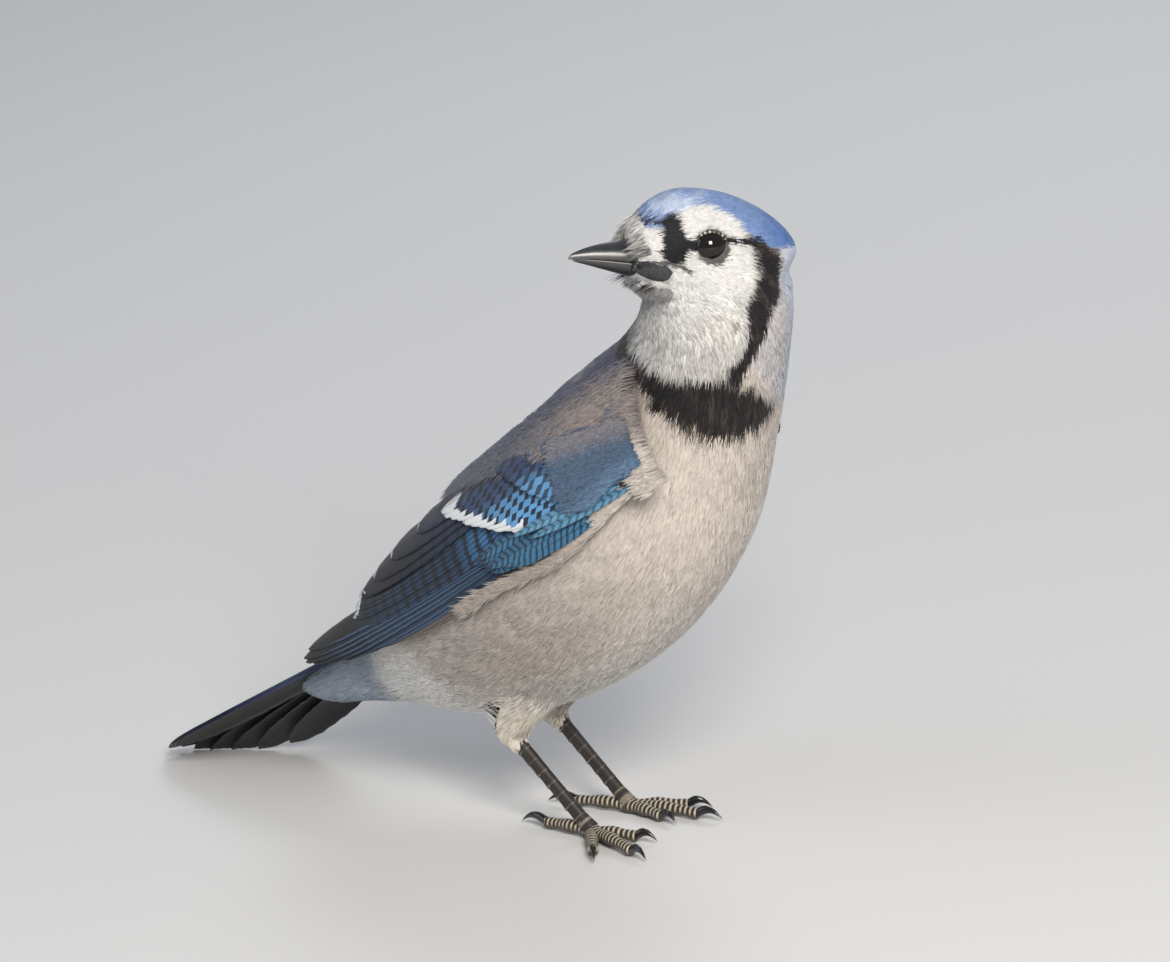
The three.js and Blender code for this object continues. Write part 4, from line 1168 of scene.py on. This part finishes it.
def wing_tufts(which, side):
    """Small feathers over the wing's shoulder, the edge of the mantle and the fringe of the flank."""
    n = WING_BLADES
    pick = rng.random(n)
    s, m = np.empty(n), np.empty(n)
    lesser, mantle, fringe, front = (np.searchsorted([0.3, 0.74, 0.88], pick, "right") == k for k in range(4))
    r1, r2 = rng.random(n), rng.random(n)
    start = 10 if side > 0 else -5
    s[lesser] = start + (20 - start) * r1[lesser]
    s[mantle] = start - 1 + 70 * r1[mantle] ** 1.1
    s[fringe] = 2 + 66 * r1[fringe]
    s[front] = -8 + 7 * r1[front]
    low, edge, top = WING_LOW(s), MANTLE_LOW(s), WING_TOP(s)
    slant = np.where(s > 14, 0.55 * (s - 14), 0)
    m[lesser] = mix(low + 0.8 + slant, edge + 1, r2)[lesser]
    m[mantle] = mix(edge - 0.5, top - 1.2, r2)[mantle]
    m[fringe] = (low - 3.8 + 1.8 * r2)[fringe]
    m[front] = mix(-7, 15, r2)[front]
    way_s = np.where(fringe, 0.93, np.where(front, 0.97, 0.99)) + 0 * s
    way_m = np.where(fringe, 0.12, np.where(mantle, -0.1, 0.1)) + rng.normal(0, 0.12, n)
    length = np.select([lesser, mantle, fringe], [4.2, 7.0, 7.0], 5.5)
    length = length * rng.uniform(0.7, 1.2, n)
    rise = np.select([lesser, mantle, fringe], [1.55, 0.55, -0.5], 0.6)

    def over(share, lift):
        at_s, at_m = s + way_s * length * share, m + way_m * length * share
        at_m = np.minimum(at_m, WING_TOP(at_s) - 0.8)
        return on_wing(at_s, at_m, side) + wing_normal(at_s, at_m, side) * np.reshape(lift, (-1, 1))

    root = over(0, rise - 1.3)
    mid = over(0.5, rise + rng.uniform(0.1, 0.7, n))
    tip = over(1.0, rise + rng.uniform(0.0, 0.8, n) + np.where(front, 0.3, 0))
    normal = wing_normal(s, m, side)
    colour = np.empty((n, 3))
    slate = blend(TIER_TINTS["lesser"], MANTLE, smooth(m - edge, -5, 0) * 0.6)
    slate = blend(slate, FADED_BLUE, (1 - smooth(m - low, 1, 5)) * 0.5)
    colour[lesser] = slate[lesser]
    colour[mantle] = back_colour(root)[mantle]
    # painted shade: the flank's fringe below the wing's edge is made a tenth darker
    colour[fringe] = blend(BREAST, FLANK, smooth(s, 4, 30))[fringe] * 0.9
    ahead = blend(BREAST, MANTLE, smooth(m, 1, 9))
    ahead = blend(ahead, FADED_SLATE, smooth(s, -5, -1) * smooth(m, -4, 2) * 0.8)
    colour[front] = ahead[front]
    colour = np.clip(colour * (1 + 0.12 * rng.standard_normal((n, 1))), 0.003, 0.9)
    tints = np.stack([colour * 0.7, colour * 0.97, colour * 1.1], 1)
    width = np.where(lesser, 0.62, 0.5)
    uv = np.stack([0.7 + 0.004 * m + 0.15 * (side > 0), 0.04 + 0.003 * (s + 8)], -1)
    # none in front of the far wing
    keep = ~front | (side < 0)
    parts = [v[keep] for v in (root, mid, tip, normal, width, width * 0.3, tints, uv)]
    blade_mesh("wing_coat_" + which, *parts, plumage, "wing", 0.5)


# Eyes, bill, legs and claws
def ball(centre, radius, bulge_way, rings=40, sides=48):
    """A sphere with a slight cornea on the side it looks to."""
    axis = unit(bulge_way)
    other = unit(np.cross(axis, Z_AXIS))
    third = np.cross(axis, other)
    polar = np.linspace(0.02, math.pi - 0.02, rings)[:, None]
    around = circle(sides)[None]
    r = radius * (1 + 0.035 * np.exp(-((polar / 0.62) ** 2))) + 0 * around
    x, y, z = r * np.cos(polar), r * np.sin(polar) * np.cos(around), r * np.sin(polar) * np.sin(around)
    return tube(centre + x[..., None] * axis + y[..., None] * other + z[..., None] * third)


def build_eyes():
    for which, side in SIDES:
        f, l, u = EYE["at"]
        centre = in_head(f, side * l, u)
        out = left * side + 0.12 * forward
        eye = mesh_object("eyeball_" + which, *ball(centre, EYE["radius"], out), eye_wet, "eye")
        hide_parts("eye_" + which)
        # a thin rim of bare skin, beaded with tiny scales
        out = unit(out)
        ahead = unit(forward - out * (forward @ out))
        up = np.cross(out, ahead) * side
        rings, sides = 90, 10
        a, b = circle(rings), circle(sides)
        middle = centre + out * LID["out"]
        ring = middle + ahead * (LID["wide"] * np.cos(a))[:, None] + up * (LID["high"] * np.sin(a))[:, None]
        ring -= out * (0.045 * (np.cos(a) * 3.6) ** 2)[:, None]
        radius = LID["thick"] + 0.06 * np.sin(a * LID["beads"])
        way = unit(np.roll(ring, -1, 0) - np.roll(ring, 1, 0))
        inward = unit(middle - ring)
        cross = np.cross(way, inward)
        points = ring[:, None] + inward[:, None] * (radius[:, None] * np.cos(b))[..., None]
        points = (points + cross[:, None] * (radius[:, None] * np.sin(b))[..., None]).reshape(-1, 3)
        index = np.arange(rings * sides).reshape(rings, sides)
        after, turn = np.roll(index, -1, 0), np.roll(index, -1, 1)
        quads = np.stack([index, turn, np.roll(after, -1, 1), after], -1).reshape(-1, 4)
        quads = quads if volume(points - centre, quads) > 0 else quads[:, ::-1]
        flecks = (np.sin(a * LID["beads"]) > 0.35) * (0.3 + 0.7 * (np.sin(a * 5 + 1) > -0.2))
        tint = blend(srgb(40, 38, 38), srgb(178, 172, 160), np.repeat(flecks, sides))
        mesh_object("lid_" + which, points, quads, lid_skin, "face", tint)


def bill_tube(upper, rings=46, sides=28):
    t = np.linspace(0, 1, rings)
    reach = 1.0 if upper else 0.94
    f = BILL["root"] - 2.0 + (BILL["length"] * reach + 2.0) * t
    share = np.clip((f - BILL["root"]) / (BILL["length"] * reach), 0, 1)
    w = BILL["half"] * (1 - 0.97 * share) ** 0.85
    droop = (-0.9 if upper else -0.5) * share**4
    depth = (BILL["top"] if upper else BILL["bottom"]) * (1 - 0.93 * share) ** (0.62 if upper else 0.8)
    lip = 0.12 if upper else -0.12
    out = []
    arc = np.linspace(0, math.pi, sides)
    for i in range(rings):
        ridge = 1 + 0.07 * np.exp(-(((arc - math.pi / 2) / 0.22) ** 2)) * (1 if upper else 0.4)
        height = depth[i] * np.sin(arc) ** 0.92 * ridge
        u = BILL["line"] + droop[i] + lip + (1 if upper else -1) * height
        out.append(in_head(f[i] + 0 * arc, w[i] * np.cos(arc), u))
    verts, faces = tube(out)
    tone = np.repeat(share, sides)
    tint = blend(srgb(34, 36, 40), srgb(48, 49, 53), smooth(tone, 0.3, 0.9))
    tint = blend(tint, srgb(160, 152, 138), smooth(tone, 0.965, 1.0) * 0.7)
    edge = np.tile(np.abs(np.cos(arc)) ** 12, rings)
    tint = blend(tint, srgb(84, 82, 80), edge * 0.5)
    return verts, faces, capped(tint)


WEDGE = [
    ((19.0, -2.9), (19.0, -4.6)),
    ((17.0, -2.4), (17.0, -5.6)),
    ((15.0, -1.9), (15.0, -6.3)),
    ((13.2, -2.1), (13.2, -6.6)),
    ((11.8, -2.7), (12.0, -6.5)),
    ((10.2, -3.9), (10.8, -5.9)),
]


def gape_wedge(side, skin, skin_points):
    """The bare dark corner behind the bill: a low pad of horn over the skin."""
    polygons = corners([polygon.vertices for polygon in skin.data.polygons])
    tree = BVHTree.FromPolygons(triples(skin_points), polygons)
    curve = through(np.array(WEDGE).reshape(-1, 4))
    rows, across = [], 18
    for t in np.linspace(0, 1, 26):
        at = curve(t)
        row = []
        for i, (f, u) in enumerate(mix(at[:2], at[2:], np.linspace(0, 1, across)[:, None])):
            hit = tree.ray_cast(Vector(in_head(f, side * 20, u)), Vector(-side * left))[0]
            base = np.array(hit) if hit is not None else in_head(f, side * 5.5, u)
            rise = 0.75 * math.sin(math.pi * (i + 0.5) / across) ** 0.5 * (1 - 0.8 * t**4) + 0.1
            row.append(base + side * left * rise)
        rows.append(row)
    outer = np.array(rows)
    inner = outer[:, ::-1] - side * left * 1.6
    return tube(np.concatenate([outer, inner], 1))


def build_bill(skin, skin_points):
    for which, side in SIDES:
        verts, faces = gape_wedge(side, skin, skin_points)
        tint = blend(*(srgb(*c) for c in HORN), 0.5 + 0.5 * noise3(verts, 1.6, 51))
        mesh_object("gape_" + which, verts, faces, horn, "bill", tint)
    for which in ("upper", "lower"):
        verts, faces, tint = bill_tube(which == "upper")
        obj = mesh_object("bill_" + which + "_horn", verts, faces, horn, "bill", tint)
        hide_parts("bill_" + which)


def toe_way(which, toe):
    a = math.radians(TOE_HEADINGS[which][toe])
    return np.array([math.cos(a), math.sin(a), 0.0])


def toe_points(which, toe, t):
    length = TOE_LENGTHS[toe]
    arch = 0.8 * np.sin(math.pi * t) * (length / 12)
    p = np.array(PADS[which], float) + toe_way(which, toe) * (length * t)[:, None]
    p[:, 2] += -0.75 + arch * 0.5
    return p


SHANK_SWELL = line([(-0.1, 1.75), (0, 1.9), (0.06, 2), (0.16, 1.62), (0.5, 1.48), (0.8, 1.52), (0.9, 1.5)])
CLAW_TAPER = line([(0, 1.25), (0.25, 1.15), (0.5, 0.88), (0.75, 0.55), (0.93, 0.25), (1, 0.06)])


def saw(t, count):
    """0 to 1 along each of count plates."""
    return (t * count) % 1.0


DARK_SCALE, PALE_SCALE = srgb(40, 35, 32), srgb(196, 184, 160)


def above_floor(verts):
    verts[:, 2] = np.maximum(verts[:, 2], FLOOR_LIFT)
    return verts


def build_shank(which, ankle, pad, sides, angle):
    """The leg from ankle to foot, with plates that overlap down its front."""
    t = np.linspace(-0.1, 0.9, 150)
    plates = saw(t - 0.1, 9)
    front = smooth(-np.sin(angle), -0.2, 0.5)[None]
    swell = SHANK_SWELL(t)
    step = (plates**2 * 0.22)[:, None] * (0.25 + 0.75 * front)
    w, h = (swell[:, None] * share + step for share in (0.95, 1.16))
    verts, faces = tube(limb_rings(mix(ankle, pad, t[:, None]), w, h, sides, Y_AXIS))
    crack = smooth(plates, 0.9, 0.99)[:, None] * (0.15 + 0.6 * front)
    grain = noise3(verts, 2.2, 4)[:-2]
    tint = blend(DARK_SCALE, PALE_SCALE, crack.ravel() * (0.6 + 0.4 * smooth(grain, -0.6, 0.6)))
    shank = mesh_object("shank_" + which + "_scaled", verts, faces, scales, "leg", capped(tint))
    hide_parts("shank_" + which)


def build_toe(which, toe, sides, angle):
    """(vertices, faces), tint of one toe with its plates."""
    count = round(TOE_LENGTHS[toe] / 1.35)
    t = np.linspace(0, 1, count * 9)
    plates = saw(t, count)
    knuckle = 1 + 0.1 * np.cos(4 * math.pi * t)
    top = smooth(np.sin(angle), -0.3, 0.4)[None]
    r = (TOE_RADIUS * (1 - 0.25 * t) * knuckle)[:, None]
    r = r * (0.9 + 0.13 * (1 - (2 * plates[:, None] - 1) ** 2) * (0.4 + 0.6 * top))
    way = toe_way(which, toe)
    middle = toe_points(which, toe, t)
    verts, faces = tube(limb_rings(middle, r, r, sides, np.cross(way, Z_AXIS), way))
    above_floor(verts)
    above = smooth(verts[:-2, 2] - np.repeat(middle[:, 2], sides), -0.8, 0.4)
    band = np.repeat(1 - smooth(np.minimum(plates, 1 - plates), 0.1, 0.26), sides)
    return (verts, faces), capped(blend(DARK_SCALE, PALE_SCALE, band * above * 0.85 + 0.1 * (1 - above)))


def build_claw(which, toe, sides=18):
    way = toe_way(which, toe)
    t = np.linspace(0, 1, 30)
    middle = toe_points(which, toe, np.array([1.0]))[0] + way * 0.1
    middle = middle + way * (CLAW_LENGTHS[toe] * 0.82 * t)[:, None]
    middle[:, 2] += 0.15 + 1.5 * np.sin(math.pi * 0.85 * t) - 1.6 * t**2
    r = CLAW_TAPER(t)
    verts, faces = tube(limb_rings(middle, r * 0.8, r, sides, np.cross(way, Z_AXIS), way))
    tint = capped(blend(srgb(22, 20, 20), srgb(120, 104, 88), np.repeat(smooth(t, 0.86, 1.0), sides) * 0.8))
    name = "claw_%s_%d" % (which, toe + 1)
    claw = mesh_object(name + "_horn", above_floor(verts), faces, claw_horn, "claw", tint)
    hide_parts(name)


def build_leg(which):
    ankle, pad = np.array(ANKLES[which], float), np.array(PADS[which], float)
    sides = 24
    angle = circle(sides)
    build_shank(which, ankle, pad, sides, angle)
    sole_verts, sole_faces = ball(pad, 2.45, Z_AXIS, 24, 30)
    above_floor(sole_verts)
    t = np.linspace(0.87, 1, 12)
    r = line([(0.87, 1.55), (0.93, 1.75), (1, 2.0)])(t)
    joint = tube(limb_rings(mix(ankle, pad, t[:, None]), r, r * 1.12, sides, Y_AXIS))
    parts = [(sole_verts, sole_faces), joint]
    speckle = smooth(np.sin(sole_verts[:, 2] * 5 + sole_verts[:, 0] * 3), 0.3, 0.9)
    tints = [np.tile(DARK_SCALE, (len(joint[0]), 1)), blend(DARK_SCALE, PALE_SCALE, 0.35 * speckle)]
    for toe in range(4):
        part, tint = build_toe(which, toe, sides, angle)
        parts.append(part)
        tints.append(tint)
        build_claw(which, toe)
    foot = mesh_object("foot_" + which + "_scaled", *join(parts), scales, "leg", np.concatenate(tints))
    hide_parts("foot_" + which)


# rows of the crest: place along the head, count, half spread, length
CREST_ROWS = [(-1, 8, 8.6, 9.5), (-4, 8, 8.4, 11), (-7, 8, 7.8, 13), (-10, 8, 7.0, 15), (-11.5, 6, 5.0, 15.5)]


def build_crest():
    vanes = Vanes()
    noise = np.random.default_rng(12)
    top = line([(-23.5, 2), (-20, 6.4), (-14, 10.6), (-6, 13.8), (2.5, 15.2), (9.5, 14.2), (14, 11.2)])
    for f, count, spread, length in CREST_ROWS:
        for l in np.linspace(-spread, spread, count) + noise.normal(0, 0.3, count):
            start = f + noise.normal(0, 0.5)
            drop = 0.055 * l * l
            fall = 0.4 + (9 - start) * 0.0145 + 0.02 * abs(l)
            root = in_head(start, l * 0.85, top(start) - drop - 0.5)
            tip_up = top(start) - drop + 1.5 - length * math.sin(fall)
            tip = in_head(start - length * math.cos(fall), l * 0.8, tip_up)
            roll = l / 12 * 1.1
            across = left * math.cos(roll) - crown_way * math.sin(roll)
            normal = unit(np.cross(tip - root, across))
            normal = normal if normal @ crown_way > 0 else -normal

            def place(t, k, root=root, tip=tip, across=across, normal=normal):
                p = root + (tip - root) * t[..., None] + across * (k * 1.5)[..., None]
                return p, np.broadcast_to(normal, p.shape)

            vanes.add(place, length, POINTED, "crest", rows=14, columns=6, thick=0.2)
    vanes.build("crest_vanes")


def bristles(name, roots, ways, length, width, tint, slot, curl):
    """Separate hair-like feathers: round the gape, the chin and over the nostrils."""
    count = len(roots)
    length = length * rng.uniform(0.75, 1.2, count)
    ways = unit(ways + rng.normal(0, 0.08, ways.shape))
    mid = roots + ways * (0.5 * length)[:, None]
    tip = roots + ways * length[:, None] + curl * length[:, None]
    side = unit(np.cross(ways, np.broadcast_to([0.13, 0.31, 0.94], ways.shape)))
    normal = unit(np.cross(side, ways))
    colour = np.clip(tint * (1 + 0.15 * rng.standard_normal((count, 1))), 0.003, 0.95)
    tints = np.stack([colour * 0.8, colour, colour], 1)
    uv = np.clip(skin_map(roots), 0, 0.996)
    widths = np.full(count, width)
    blade_mesh(name, roots, mid, tip, normal, widths, widths * 0.7, tints, uv, plumage, slot, 1.0)


def build_bristles():
    for which, side in SIDES:
        n = 760
        a = rng.uniform(0, 1, n)
        f = 13.6 + rng.uniform(-1.2, 2.4, n)
        root = in_head(f, side * (0.3 + 7.2 * a**0.8), 8.6 - 8.6 * a**1.5 + rng.normal(0, 0.3, n))
        ahead = unit(in_head(22.0 - 1.5 * a, side * (1.6 + 4.4 * a), 3.8 - 4.4 * a) - root)
        pale = blend(WHITE, srgb(50, 54, 64), (rng.random(n) < 0.3) * 0.8)
        curl = left * side * 0.06 - crown_way * 0.08
        bristles("nasal_tuft_" + which, root, ahead, 6.0, 0.24, pale, "face", curl)
        n = 500
        a = rng.uniform(0, 1, n)
        f = 15.2 - 7 * a + rng.normal(0, 0.4, n)
        root = in_head(f, side * (1.0 + 7.4 * a**0.7), -7.2 - 1.2 * a + rng.normal(0, 0.4, n))
        ahead = np.tile(unit(forward * 0.55 - crown_way * 0.5 + left * side * 0.2), (n, 1))
        # painted shade: the chin's tuft takes the grey of the shadow under the chin, a little lighter
        bristles("chin_tuft_" + which, root, ahead, 3.4, 0.26, PAINTED_SHADE_GREY * 1.1, "face", -crown_way * 0.1)
        n = 26
        a = rng.uniform(0, 1, n)
        root = in_head(16.5 - 4 * a, side * (3.5 + 4 * a), -6.6 - 1.2 * a)
        ahead = np.tile(unit(forward * 0.9 - crown_way * 0.35 + left * side * 0.15), (n, 1))
        bristles("chin_bristles_" + which, root, ahead, 5.0, 0.13, BLACK, "face", -crown_way * 0.12)


# Stage
def build_stage():
    mesh = bpy.data.meshes.new("floor")
    size, z = 3.0, -0.0001
    spots = [(-size, -size, z), (size, -size, z), (size, size, z), (-size, size, z)]
    mesh.from_pydata(spots, [], [(0, 1, 2, 3)])
    floor = linked("floor", mesh)
    mat, _, _, shader = material("floor_paper", 0.85, 0.2)
    shader.inputs["Base Color"].default_value = (0.62, 0.62, 0.615, 1)
    mesh.materials.append(mat)
    world = bpy.data.worlds.new("studio")
    bpy.context.scene.world = world
    world.use_nodes = True
    sky = world.node_tree.nodes["Background"].inputs
    sky["Color"].default_value, sky["Strength"].default_value = (0.86, 0.9, 1.0, 1), 0.34
    for name, place, size, power, tone in (
        ("key", (1.0, -0.75, 0.85), 0.5, 24, (1, 0.95, 0.88)),
        ("fill", (-0.9, -0.9, 0.6), 0.9, 3.5, (0.88, 0.93, 1)),
        ("rim", (-0.3, 0.9, 0.9), 0.5, 4.5, (0.95, 0.97, 1)),
    ):
        data = bpy.data.lights.new(name, "AREA")
        data.energy, data.size, data.color = power, size, tone
        light = linked(name, data)
        light.location = place
        aim = Vector((0.0, 0.0, 0.08)) - light.location
        light.rotation_mode = "QUATERNION"
        light.rotation_quaternion = aim.to_track_quat("-Z", "Y")


def build_camera():
    """The photograph's view: 40 degrees round from the bird's right side and 16 above, rolled a little."""
    azimuth, elevation, roll = (math.radians(v) for v in (40.0, 16.0, 5.5))
    right = np.array([math.cos(azimuth), math.sin(azimuth), 0.0])
    back = np.cross(right, Z_AXIS) * math.cos(elevation) + Z_AXIS * math.sin(elevation)
    up = np.cross(back, right)
    right, up = math.cos(roll) * right - math.sin(roll) * up, math.sin(roll) * right + math.cos(roll) * up
    distance, scale = 2400.0, 4.15
    width, middle = 1170, (585.0, 481.0)
    seen_at, seen = (592.0, 838.0), np.array([0.0, -13.0, 0.0])
    offset = ((seen_at[0] - middle[0]) / scale, -(seen_at[1] - middle[1]) / scale)
    at = seen - offset[0] * right - offset[1] * up + distance * back
    data = bpy.data.cameras.new("camera")
    data.sensor_width = 36.0
    data.lens = scale * distance / width * 36.0
    data.clip_start, data.clip_end = 0.1, 20
    camera = linked("camera", data)
    pose = Matrix([[*map(float, row)] for row in np.stack([right, up, back], 1)]).to_4x4()
    pose.translation = Vector(to_row(at))
    camera.matrix_world = pose
    bpy.context.scene.camera = camera


eye_wet = eye_material()
build_camera()
build_stage()
skin, skin_points = build_skin()
build_coat(skin, skin_points)
build_wing("right", -1)
build_wing("left", 1)
wing_tufts("right", -1)
wing_tufts("left", 1)
build_tail()
build_crest()
build_eyes()
build_bill(skin, skin_points)
for which in ("right", "left"):
    build_leg(which)
build_bristles()

scene = bpy.context.scene
scene.view_settings.view_transform = "Standard"
